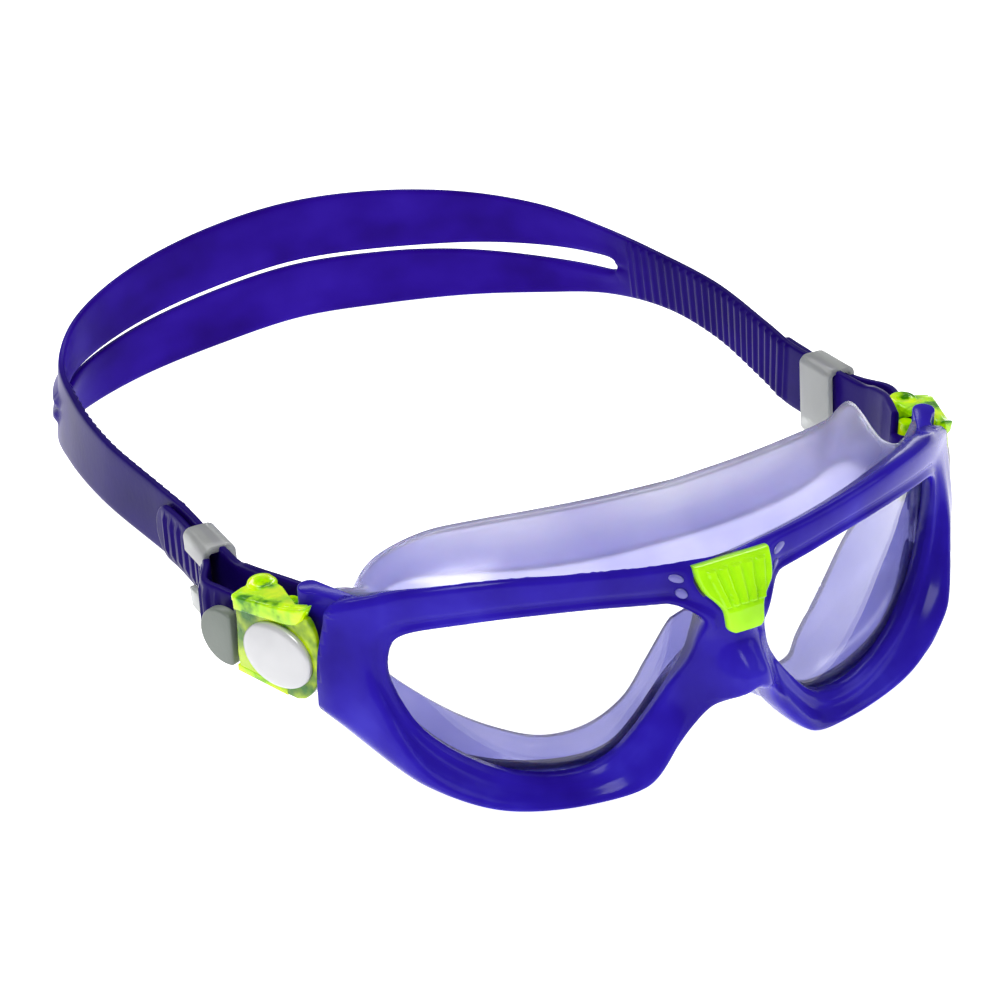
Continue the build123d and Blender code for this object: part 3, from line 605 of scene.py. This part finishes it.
# ================================================================ lens
def make_lens():
    inner, outer, rim_count = frame_lines(120, 20)
    length = np.linalg.norm(outer - EYE_MIDDLE, axis=1)
    share = np.where(np.arange(len(outer)) < rim_count, 1 - (RIM_WIDTH + 0.2) / length, 1.0)
    edge = EYE_MIDDLE + (outer - EYE_MIDDLE) * share[:, None]
    edge[:, 0] = np.minimum(edge[:, 0], 63.0)
    edge[:, 1] = np.minimum(edge[:, 1], 51.0 - (RIM_WIDTH + 0.2) - 4.0 * smooth_step(-edge[:, 0], -14, -2))
    edge[rim_count:, 1] = np.clip(edge[rim_count:, 1], SEAM_LOW + 4.0, 43.3)
    edge[edge[:, 0] < 2.2, 0] = 0.0
    rings = np.linspace(0, 1, 16)[None, :, None]
    flat = EYE_MIDDLE * (1 - rings) + edge[:, None, :] * rings
    x, z = flat[:, :, 0], flat[:, :, 1]
    front = np.stack([x, wrap(x) + 2.75 * lean(x), z], axis=2)
    back = np.stack([x, wrap(x) + 4.45 * lean(x), z], axis=2)
    sheet = Shape()
    sheet.grid(front, wrap_rows=True)
    sheet.grid(back[:, ::-1], wrap_rows=True)
    sheet.grid(np.stack([front[:rim_count, -1], back[:rim_count, -1]], axis=1))
    return sheet.mirrored().build("lens_sheet")


# ================================================================ skirt
# fold where the outer wall meets the face lip, from the middle of the brow round the temple to the nose
SKIRT_FOLD = [
    (0, 20.0, 54.0), (15, 20.8, 54.2), (28, 22.8, 54.1), (38, 26.0, 53.2), (46, 30.0, 51.2), (52.5, 32.4, 48.4),
    (57.3, 33.2, 45.4), (60.6, 34.0, 39.8), (62.4, 35.4, 36.0), (62.6, 36.2, 29.0), (60.5, 36.2, 20.5),
    (55.5, 35.2, 12.5), (46.5, 31.2, 5.2), (36.5, 26.6, 1.6), (28, 20.5, 1.5), (19, 17.4, 2.9), (11, 15.6, 8.8),
    (6.4, 14.3, 18.2), (2.5, 13.7, 25.4), (0, 13.7, 26.6),
]
# free edge of the face lip, in the same order
SKIRT_LIP = [
    (0, 18.0, 42.5), (15, 18.8, 42.5), (28, 21.4, 42.5), (40, 27.0, 42.0), (48, 32.4, 41.0), (52.8, 35.4, 38.5),
    (55.4, 36.8, 34.5), (56.4, 37.6, 29.0), (54.8, 37.6, 21.0), (50.5, 37.0, 15.0), (42, 32.4, 7.8), (34.5, 27.6, 3.9),
    (28, 21.4, 3.7), (19.6, 18.4, 5.4), (12.4, 16.8, 10.6), (8.0, 15.4, 19.2), (3.4, 14.6, 27.4), (0, 14.6, 28.6),
]
# on the wearer's left the wall is pressed forward behind the corner of the brow
LEFT_FOLD = {4: (47.2, 31.2, 52.2), 5: (50.2, 26.4, 46.0), 6: (54.4, 24.4, 41.2), 7: (60.0, 27.6, 37.4)}
LEFT_LIP = {4: (46.0, 30.0, 40.0), 5: (51.0, 31.0, 36.6), 6: (54.6, 33.6, 33.0)}


def along_ring(points, theta):
    """Points of an open ring round the eye, spread by angle between its two ends on the seam."""
    curve = catmull(points, 900)
    turn = np.unwrap(np.arctan2(curve[:, 2] - EYE_MIDDLE[1], curve[:, 0] - EYE_MIDDLE[0]))
    share = (theta - theta[0]) / (theta[-1] - theta[0])
    wanted = turn[0] + (turn[-1] - turn[0]) * share
    order = np.argsort(turn)
    return np.stack([np.interp(wanted, turn[order], curve[order, k]) for k in range(3)], axis=1)


def skirt_side(side):
    """Rows of points across the skirt, from under the frame over the wall to the lip's free edge."""
    fold, lip = list(SKIRT_FOLD), list(SKIRT_LIP)
    if side > 0:
        for i, point in LEFT_FOLD.items():
            fold[i] = point
        for i, point in LEFT_LIP.items():
            lip[i] = point
    inner, outer, rim_count = frame_lines(220, 24)
    theta = np.concatenate(fan(220, 24))[:rim_count]
    rim = outer[:rim_count]
    inward = EYE_MIDDLE - rim
    inward /= np.linalg.norm(inward, axis=1)[:, None]
    ends = smooth_step(rim[:, 0], 0, 10)[:, None]
    straight = np.stack([np.zeros(rim_count), np.sign(inward[:, 1])], axis=1)
    inward = inward * ends + straight * (1 - ends)
    inset = 1.6 + 3.6 * smooth_step(rim[:, 1], 40, 47) * (1 - smooth_step(rim[:, 0], 60, 70))
    root = rim + inward * inset[:, None]
    root[:, 0] = np.minimum(root[:, 0], 64.6)
    foot_y = np.minimum(wrap(root[:, 0]) + 6.9 * lean(root[:, 0]), 32.6)
    foot = np.stack([root[:, 0], foot_y, root[:, 1]], axis=1)
    fold_line, lip_line = along_ring(fold, theta), along_ring(lip, theta)
    fold_line[0], fold_line[-1], lip_line[0], lip_line[-1] = fold[0], fold[-1], lip[0], lip[-1]
    tuck = foot.copy()
    tuck[:, [0, 2]] += inward * (4.6 - 3.0 * smooth_step(rim[:, 1], 40, 47))[:, None]
    tuck[:, 1] = wrap(tuck[:, 0]) + 5.2 * lean(tuck[:, 0])
    tuck[0, 0] = tuck[-1, 0] = 0.0
    swell = np.stack([-inward[:, 0], np.zeros(rim_count), -inward[:, 1]], axis=1)
    rows = [tuck, (tuck + foot) / 2]
    for t in np.linspace(0, 1, 13):
        rows.append(foot * (1 - t) + fold_line * t + swell * 1.3 * math.sin(math.pi * t) * (1 - 0.5 * t))
    back = np.array((0, 1, 0))
    for t in np.linspace(0, 1, 10)[1:]:
        rows.append(fold_line * (1 - t) + lip_line * t + back * 0.8 * math.sin(math.pi * t))
    grid = np.stack(rows, axis=1)
    grid[:, :, 0] = np.maximum(grid[:, :, 0], 0) * side
    grid[0, :, 0] = grid[-1, :, 0] = 0.0
    return grid


def make_skirt():
    sheet = Shape()
    for side in (-1, 1):
        grid = skirt_side(side)
        sheet.grid(grid if side > 0 else grid[:, ::-1])
    skirt = sheet.build("skirt_wall")
    modifier(skirt, "SOLIDIFY", thickness=1.2 * MM, offset=0.0, use_even_offset=False)
    return skirt


# ================================================================ bridge badge
BADGE_TOP, BADGE_LONG = 49.2, 12.6
BADGE_SIDE = [(7.9, 0.0), (7.7, -2.4), (6.9, -4.6), (5.3, -6.4), (4.2, -8.0), (3.9, -10.0), (3.7, -11.5), (2.7, -12.4), (0, -12.6)]


def badge_grid(height, grow=0.0, cols=75, rows=120):
    """Rows down the badge; height gives the rise of the face over the frame at (x, down, edge distance)."""
    side = catmull(BADGE_SIDE, 400)
    down = np.linspace(0, BADGE_LONG, rows)
    half = np.interp(down, -side[:, 1], side[:, 0])
    half[-1] = 1.9
    half = half + grow
    across = np.sin(np.linspace(-math.pi / 2, math.pi / 2, cols))
    grid = np.empty((rows, cols, 3))
    for i, (d, w) in enumerate(zip(down, half)):
        x = w * across
        edge = np.minimum(w * (1 - np.abs(across)), min(d, BADGE_LONG - d))
        z = np.full(cols, BADGE_TOP - d - grow * d / BADGE_LONG)
        y = 0.15 * wrap(x) - bridge(0.55 * x, z) - height(x, d, edge)
        grid[i] = np.stack([x, y, z + 0.25 * height(x, d, edge)], axis=1)
    return grid


def badge_face(x, down, edge):
    crown = 1.15 * np.sqrt(np.clip(1 - (1 - np.clip(edge / 0.6, 0, 1)) ** 2, 0, 1))
    pitch = 2.75 - 0.13 * down
    near = np.round(x / pitch)
    pad = np.clip((0.36 - np.abs(x / pitch - near)) / 0.07, 0, 1) * (np.abs(near) <= 2)
    ends = np.clip((down - 0.9) / 0.25, 0, 1) * np.clip((7.4 - down) / 0.25, 0, 1)
    return 0.7 + crown + 0.62 * pad * ends


def badge_seat(x, down, edge):
    return -0.45 + 0.2 * np.clip(edge / 0.3, 0, 1)


def make_badge(name, face, grow, sink):
    """A plate over the bridge: the badge itself, or the wider seat that shows as its outline, painted near black as the
    shade in the recess round the badge.
    """
    top = badge_grid(face, grow)
    base = badge_grid(lambda x, down, edge: 0 * x - sink, grow)
    plate = Shape()
    plate.grid(top)
    plate.grid(base[:, ::-1])
    for a, b in ((top[0], base[0]), (base[-1], top[-1]), (base[:, 0], top[:, 0]), (top[:, -1], base[:, -1])):
        plate.grid(np.stack([a, b], axis=0))
    return plate.build(name)


# ================================================================ strap
# middle line on the +X side behind the buckle: (x, y, top z, bottom z, lean of the top outward)
STRAP_LINE = [
    (67.0, 43.4, 38.9, 23.4, 0), (69.2, 48.4, 38.3, 22.8, 0), (71.1, 53.2, 37.5, 22.2, 0), (72.1, 58.6, 36.0, 20.9, 0),
    (72.4, 64, 34.2, 18.9, 0), (72.4, 78, 32.4, 17.2, 0), (72.4, 92, 30.9, 15.6, 0), (74.0, 105, 30.0, 14.8, -0.6),
    (76.6, 130, 28.0, 13.0, -1.4), (75.9, 154, 25.6, 10.2, -2.2), (71.8, 176.2, 24.4, 5.4, -2.0), (61.2, 191.4, 26.6, 1.9, -0.4),
    (43.9, 201.0, 29.9, 1.6, 1.2), (22.4, 206.2, 32.6, 2.4, 2.6), (0, 207.8, 33.8, 3.6, 3.2),
]
SLOT_START = 171.5
STRAP_HALF = 0.8


def strap_rows(count):
    x, *rest = STRAP_LINE[-2]
    line = catmull(STRAP_LINE + [(-x, *rest)], count)
    line = line[:np.argmax(line[:, 0] < 0.5)]
    line = np.vstack([line, STRAP_LINE[-1]])
    top = np.stack([line[:, 0], line[:, 1], line[:, 2]], axis=1)
    low = np.stack([line[:, 0], line[:, 1], line[:, 3]], axis=1)
    heading = np.gradient(line[:, :2], axis=0)
    heading /= np.linalg.norm(heading, axis=1)[:, None]
    outward = np.stack([heading[:, 1], -heading[:, 0], np.zeros(len(line))], axis=1)
    outward[-1] = (0, 1, 0)
    top += outward * (line[:, 4] / 2)[:, None]
    low -= outward * (line[:, 4] / 2)[:, None]
    along = np.concatenate([[0], np.cumsum(np.linalg.norm(np.diff(line[:, :2], axis=0), axis=1))])
    return top, low, outward, along, line


def make_strap_layer(side, name, open_slot):
    """One half of the strap's main layer: a banded sheet with ribs on the head side, then a slot."""
    top, low, outward, along, line = strap_rows(600)
    height = line[:, 2] - line[:, 3]
    slot_from = along[np.argmax(line[:, 1] > SLOT_START)]
    behind = np.clip(along - slot_from, 0, None)
    wide = open_slot + (1.3 - open_slot) * smooth_step(behind, 12, 62)
    gap = wide * np.sqrt(np.clip(1 - (1 - np.clip(behind / 5.0, 0, 1)) ** 2, 0, 1)) / height
    middle = 0.52
    ribs_from, ribs_to = along[np.argmax(line[:, 1] > 93)], slot_from - 6
    inside = smooth_step(along, ribs_from - 2, ribs_from) * (1 - smooth_step(along, ribs_to, ribs_to + 2))
    rib = 0.6 * inside * smooth_step(np.cos(2 * np.pi * along / 3.3), -0.25, 0.45)
    upper = np.array([0, 0.02, 0.06, 0.12, 0.25, 0.45, 0.62, 0.78, 0.90, 0.97, 1.0])
    faces = {1: [], -1: []}
    for face in (1, -1):
        for band in (0, 1):
            rows = []
            for share in upper:
                if band == 0:
                    f = share * (middle - gap / 2)
                else:
                    f = middle + gap / 2 + share * (1 - middle - gap / 2)
                p = top * (1 - f)[:, None] + low * f[:, None]
                edge = np.minimum(f, 1 - f) * height
                to_slot = np.abs(f - middle) * height - gap * height / 2
                thin = 0.35 * np.exp(-edge / 0.25)
                slot_zone = smooth_step(along, slot_from - 5, slot_from - 1)
                thin += 0.30 * np.exp(-np.abs(to_slot) / 0.25) * (gap > 0)
                rim = 1.3 * slot_zone * (1 - smooth_step(behind, 10, 26)) * np.exp(-(((to_slot - 1.7) / 1.1) ** 4))
                field = smooth_step(edge, 0.2, 0.9)
                offset = STRAP_HALF - thin + rim * (0.9 if face > 0 else 0.5)
                if face < 0:
                    offset = offset + rib * field
                rows.append(p + outward * (face * offset)[:, None])
            faces[face].append(np.stack(rows, axis=1))
    sheet = Shape()
    for band in (0, 1):
        out, inn = faces[1][band], faces[-1][band]
        sheet.grid(out)
        sheet.grid(inn[:, ::-1])
        sheet.grid(np.stack([inn[:, 0], out[:, 0]], axis=1) if band == 0 else np.stack([out[:, -1], inn[:, -1]], axis=1))
        opened = np.argmax(gap > 1e-6) - 1
        column = -1 if band == 0 else 0
        sheet.grid(np.stack([out[opened:, column], inn[opened:, column]], axis=1))
        sheet.grid(np.stack([out[0], inn[0]], axis=0))
    if side < 0:
        sheet.verts = [(-x, y, z) for x, y, z in sheet.verts]
    return sheet.build(name)


BAR_T, BAR_N, LOOP_R = 7.3, -6.45, 2.45


def tail_line():
    """Middle line of the returning tail on the +X side: round the bar, out of the buckle, along the strap."""
    points = []
    for turn in np.linspace(-90, -270, 13):
        a = math.radians(turn)
        x, y, _ = buckle(1, BAR_T + LOOP_R * math.cos(a), BAR_N + LOOP_R * math.sin(a), 0)
        points.append((x, y, 33.9, 21.3))
    for t, n in ((12.0, -4.0), (17.4, -4.0)):
        x, y, _ = buckle(1, t, n, 0)
        points.append((x, y, 33.7, 20.9))
    points += [(77.9, 57.9, 33.0, 19.6), (79.2, 63.5, 32.2, 18.8), (76.4, 69.8, 31.6, 18.5), (74.4, 78, 30.9, 17.9),
               (74.4, 88, 30.4, 17.5), (74.7, 95, 29.6, 16.8), (75.2, 101, 29.0, 16.2)]
    return points


def make_tail(side, name):
    line = catmull(tail_line(), 260)
    heading = np.gradient(line[:, :2], axis=0)
    heading /= np.linalg.norm(heading, axis=1)[:, None]
    outward = np.stack([heading[:, 1], -heading[:, 0], np.zeros(len(line))], axis=1)
    along = np.concatenate([[0], np.cumsum(np.linalg.norm(np.diff(line[:, :2], axis=0), axis=1))])
    left = along[-1] - along
    middle = (line[:, 2] + line[:, 3]) / 2
    half = (line[:, 2] - line[:, 3]) / 2
    half = half * np.sqrt(np.clip(1 - (1 - np.clip(left / 5.0, 0, 1)) ** 2, 0.0004, 1))
    ribbed = smooth_step(along, 24, 26) * smooth_step(left, 3, 5)
    rib = 0.55 * ribbed * smooth_step(np.cos(2 * np.pi * along / 3.6), -0.3, 0.4)
    shares = np.array([-1, -0.97, -0.9, -0.8, -0.55, 0, 0.55, 0.8, 0.9, 0.97, 1])
    rows = {1: [], -1: []}
    for face in (1, -1):
        for share in shares:
            z = middle + half * share
            edge = half * (1 - abs(share))
            offset = STRAP_HALF - 0.35 * np.exp(-edge / 0.25)
            if face > 0:
                offset = offset + rib * smooth_step(edge, 1.2, 1.9)
            p = np.stack([line[:, 0], line[:, 1], z], axis=1)
            rows[face].append(p + outward * (face * offset)[:, None])
    out, inn = np.stack(rows[1], axis=1), np.stack(rows[-1], axis=1)
    sheet = Shape()
    sheet.grid(out)
    sheet.grid(inn[:, ::-1])
    sheet.grid(np.stack([inn[:, 0], out[:, 0]], axis=1))
    sheet.grid(np.stack([out[:, -1], inn[:, -1]], axis=1))
    sheet.grid(np.stack([out[0], inn[0]], axis=0))
    sheet.grid(np.stack([inn[-1], out[-1]], axis=0))
    if side < 0:
        sheet.verts = [(-x, y, z) for x, y, z in sheet.verts]
    return sheet.build(name)


# ================================================================ buckle pieces
BUCKLE_LOW = 19.3


def make_plate(side, name):
    """The buckle's outer plate, behind the cap."""
    front = catmull([(-3.0, 39.6), (-4.4, 37.4), (-5.2, 33.0), (-4.7, 26.6), (-3.2, 22.8), (-1.0, 20.4)], 14)
    plate = [tuple(p) for p in front] + [(1.0, BUCKLE_LOW + 0.2), (15.0, BUCKLE_LOW - 0.2), (16.2, BUCKLE_LOW + 0.6)]
    plate += [(16.6, 24), (16.2, 31), (16.3, 35.5), (10.0, 36.6), (4.5, 37.4), (-0.5, 39.0)]
    return prism(side, plate, -0.1, -1.3, name, 0.4)


def make_housing(side, name):
    """The rest of the buckle: lip, roof, floor, roller boss, knuckle, its arm and a rib."""
    lip_low = catmull([(15.8, 34.2), (8.0, 35.5), (0.5, 36.9), (-2.0, 38.8), (-2.7, 40.6)], 12)
    lip_top = catmull([(-3.5, 42.3), (-0.8, 40.8), (5.0, 39.4), (11.0, 38.3), (15.9, 37.3)], 12)
    lip = prism(side, [tuple(p) for p in lip_low] + [tuple(p) for p in lip_top], 0.9, -1.7, name + "_h", 0.5)
    roof = [(-3.1, -0.4), (-1.6, -2.2), (1.4, -1.9), (3.4, -3.2), (6.0, -4.6), (9.5, -6.6)]
    roof += arc((14.4, -5.6), 3.0, 215, 400, 12) + [(16.9, -2.6), (16.7, 0.3), (6.0, 0.3)]
    top = shelf(side, roof, 35.0, 36.5, name + "_b", 0.4)
    for vertex in top.data.vertices:
        t = along_buckle(vertex.co)
        vertex.co.z += np.interp(t, [-3.5, 0.0, 5.0, 11.0, 16.0], [5.4, 4.1, 2.6, 1.6, 0.6]) * MM
    floor = [(3.4, 0.0), (3.4, -7.4), (16.6, -7.4), (16.8, 0.0)]
    base = shelf(side, floor, BUCKLE_LOW, BUCKLE_LOW + 1.6, name + "_c", 0.3)
    boss = ring(side, 14.2, -5.8, 1.3, 2.9, 34.6, 38.0, name + "_d")
    knuckle = ring(side, 0.3, -4.6, 1.0, 2.25, 24.2, 31.8, name + "_e")
    arm = shelf(side, [(-1.4, -3.4), (-1.0, -0.8), (1.8, -0.8), (2.1, -3.6)], 24.3, 31.7, name + "_f", 0.3)
    rib = prism(side, [(2.9, 31.8), (2.9, 33.2), (16.0, 33.6), (16.0, 32.4)], -1.0, -1.9, name + "_g", 0.25)
    return join(name, [lip, top, base, boss, knuckle, arm, rib])


def make_cap(side, name):
    """The oval cap: an upright edge that rolls into a low dome."""
    long, tall, t0, z0, tilt = 8.9, 6.9, 5.0, 28.2, math.radians(-15)
    rings = []
    for r, n in ((1.0, -0.1), (1.0, 0.55), (0.985, 0.85), (0.94, 1.12), (0.86, 1.36), (0.74, 1.58), (0.58, 1.76),
                 (0.40, 1.88), (0.2, 1.96), (0.04, 1.98)):
        oval = []
        for a in np.linspace(0, 2 * math.pi, 72, endpoint=False):
            p, q = long * r * math.cos(a), tall * r * math.sin(a)
            oval.append(buckle(side, t0 + p * math.cos(tilt) - q * math.sin(tilt), n,
                               z0 + p * math.sin(tilt) + q * math.cos(tilt)))
        rings.append(oval)
    dome = Shape()
    dome.loft_closed(rings)
    return dome.build(name)


def make_lever(side, name):
    pad_outline = arc((20.1, 25.6), 6.1, 113, -113, 34)
    pad = prism(side, pad_outline, 0.3, -2.0, name + "_a", 0.5)
    arm = shelf(side, [(8.2, -1.6), (8.2, -2.7), (18.4, -2.7), (18.4, -1.6)], 22.6, 32.0, name + "_b", 0.2)
    barrel = ring(side, 13.0, -2.15, 0.55, 0.98, 22.6, 32.2, name + "_c")
    return join(name, [pad, arm, barrel])


def make_keeper(side, name):
    """A frosted clip: a rounded box section, open along the middle of its outer wall."""
    deep, tall, wall = 4.3, 15.8, 1.4
    length = 11.6
    slope = math.radians(-6.1)
    middle = Vector((side * 73.1, 76.6 + side * 0.8, 23.6))
    stations = np.linspace(-length / 2, length / 2, 5)

    def section(grow, count=56):
        half_x, half_z, corner = deep / 2 + grow, tall / 2 + grow, 0.7 + grow * 0.9
        out = []
        for cx, cz, start in ((half_x, half_z, 0), (-half_x, half_z, 90), (-half_x, -half_z, 180), (half_x, -half_z, 270)):
            for a in np.linspace(start, start + 90, count // 4):
                ux, uz = math.cos(math.radians(a)), math.sin(math.radians(a))
                out.append((cx - math.copysign(corner, cx) + corner * ux, cz - math.copysign(corner, cz) + corner * uz))
        return out

    inner, outer = section(0.0), section(wall)
    cols = len(inner)
    shape = Shape()

    def place(x, along, z):
        y = along * math.cos(slope) - z * math.sin(slope)
        up = along * math.sin(slope) + z * math.cos(slope)
        return (middle.x + x * side, middle.y + y, middle.z + up)

    rings_out = [[place(x, s, z) for x, z in outer] for s in stations]
    rings_in = [[place(x, s, z) for x, z in inner] for s in stations]
    shape.grid(rings_out, wrap_cols=True)
    shape.grid([list(reversed(r)) for r in rings_in], wrap_cols=True)
    shape.grid([rings_out[0], rings_in[0]], wrap_cols=True)
    shape.grid([rings_in[-1], rings_out[-1]], wrap_cols=True)
    obj = shape.build(name)
    cutter = Shape()
    window = []
    for s in (-length / 2 - 1, length / 2 + 1):
        ring_points = []
        for x, z in ((1.2, -3.4), (5.5, -3.9), (5.5, 4.6), (1.2, 4.1)):
            ring_points.append(place(x, s, z))
        window.append(ring_points)
    cutter.loft_closed(window)
    tool = cutter.build(name + "_cut", smooth=False)
    modifier(obj, "BOOLEAN", operation="DIFFERENCE", object=tool, solver="EXACT")
    bpy.data.objects.remove(tool)
    modifier(obj, "BEVEL", width=0.4 * MM, segments=3, limit_method="ANGLE", angle_limit=math.radians(40))
    for polygon in obj.data.polygons:
        polygon.use_smooth = True
    return obj


# ================================================================ build everything
frame_body = finish_piece(make_frame(), "mask", FRAME_PLASTIC, "frame_violet", "frame_shell")
lens_sheet = finish_piece(make_lens(), "mask", LENS_CLEAR, "lens_clear", "lens")
skirt_wall = finish_piece(make_skirt(), "mask", SKIRT_SILICONE, "skirt_lavender", "face_skirt")
# the marks get the paler violet, a painted highlight
finish_piece(make_marks(), "mask", MARK_HIGHLIGHT_VIOLET, "frame_violet", "frame_shell")
finish_piece(make_badge("badge_plate", badge_face, 0.0, 0.3), "mask", BADGE_LIME, "badge_lime", "bridge_badge")
# the seat gets the near-black colour, painted shade round the badge
finish_piece(make_badge("badge_seat", badge_seat, 0.35, 1.5), "mask", SEAT_SHADE, "frame_violet", "frame_shell")

for side, wearer in ((-1, "right"), (1, "left")):
    layer = make_strap_layer(side, f"{wearer}_strap_half", 1.1 if side < 0 else 4.0)
    tail = make_tail(side, f"{wearer}_strap_tail")
    for piece in (layer, tail):
        finish_piece(piece, None, STRAP_SILICONE, "strap_violet", "head_strap")
        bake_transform(piece)
    finish_piece(make_housing(side, f"{wearer}_buckle_body"), f"{wearer}_buckle", BUCKLE_LIME, "buckle_lime",
                 f"{wearer}_buckle_housing")
    # the plate gets the darker lime, painted shade behind the cap
    finish_piece(make_plate(side, f"{wearer}_buckle_plate"), f"{wearer}_buckle", SHADED_PLATE_LIME, "buckle_lime",
                 f"{wearer}_buckle_housing")
    finish_piece(make_cap(side, f"{wearer}_oval_cap"), f"{wearer}_buckle", CAP_WHITE, "cap_white",
                 f"{wearer}_buckle_cap")
    finish_piece(make_lever(side, f"{wearer}_lever_pad"), f"{wearer}_release", LEVER_GREY, "lever_grey",
                 f"{wearer}_release_lever")
    finish_piece(make_keeper(side, f"{wearer}_keeper_sleeve"), f"{wearer}_keeper", KEEPER_FROSTED, "keeper_frosted",
                 f"{wearer}_strap_keeper")

for name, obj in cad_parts.items():
    if name.endswith("_pin"):
        obj.data.materials.clear()
        obj.data.materials.append(PIN_STEEL)
    if name.endswith("_bar") or name.endswith("_roller"):
        obj.data.materials.clear()
        obj.data.materials.append(BUCKLE_LIME)


# ================================================================ camera, light and floor
def add_camera():
    data = bpy.data.cameras.new("camera")
    data.lens = 94.8
    data.sensor_width = 36.0
    data.clip_start = 0.01
    data.clip_end = 20.0
    camera = bpy.data.objects.new("camera", data)
    right = Vector((0.8916, -0.4523, -0.0205))
    up = Vector((0.2531, 0.4603, 0.8509))
    back = Vector((-0.3754, -0.7639, 0.5249))
    turn = Matrix((right, up, back)).transposed().to_4x4()
    camera.matrix_world = Matrix.Translation(row(-215.85, -345.22, 311.74)) @ turn
    bpy.context.scene.collection.objects.link(camera)
    bpy.context.scene.camera = camera


def add_area(name, place, aim, size, power):
    data = bpy.data.lights.new(name, "AREA")
    data.shape = "RECTANGLE"
    data.size, data.size_y = size
    data.energy = power
    light = bpy.data.objects.new(name, data)
    light.location = place
    light.rotation_euler = (Vector(aim) - Vector(place)).to_track_quat("-Z", "Y").to_euler()
    bpy.context.scene.collection.objects.link(light)


def add_floor():
    size = 6.0
    mesh = bpy.data.meshes.new("floor")
    mesh.from_pydata([(-size, -size, -0.0002), (size, -size, -0.0002), (size, size, -0.0002), (-size, size, -0.0002)],
                     [], [(0, 1, 2, 3)])
    floor = bpy.data.objects.new("floor", mesh)
    bpy.context.scene.collection.objects.link(floor)
    mat, tree, shader = new_material("floor_white", Base_Color=(0.93, 0.93, 0.93, 1), Roughness=0.9)
    shader.inputs["Emission Color"].default_value = (1, 1, 1, 1)
    shader.inputs["Emission Strength"].default_value = 1.0
    mesh.materials.append(mat)


def set_world():
    world = bpy.data.worlds.new("studio")
    world.use_nodes = True
    world.node_tree.nodes["Background"].inputs["Color"].default_value = (1, 1, 1, 1)
    world.node_tree.nodes["Background"].inputs["Strength"].default_value = 0.3
    bpy.context.scene.world = world


add_camera()
add_floor()
set_world()
add_area("key_softbox", (-0.35, -0.25, 0.75), (0, 0, 0.02), (0.3, 0.3), 3.6)
add_area("fill_softbox", (0.7, -0.5, 0.55), (0, 0, 0.02), (0.5, 0.6), 2.0)
add_area("back_softbox", (0.1, 0.7, 0.6), (0, 0.05, 0.02), (0.8, 0.12), 2.5)
bpy.context.scene.view_settings.view_transform = "Standard"
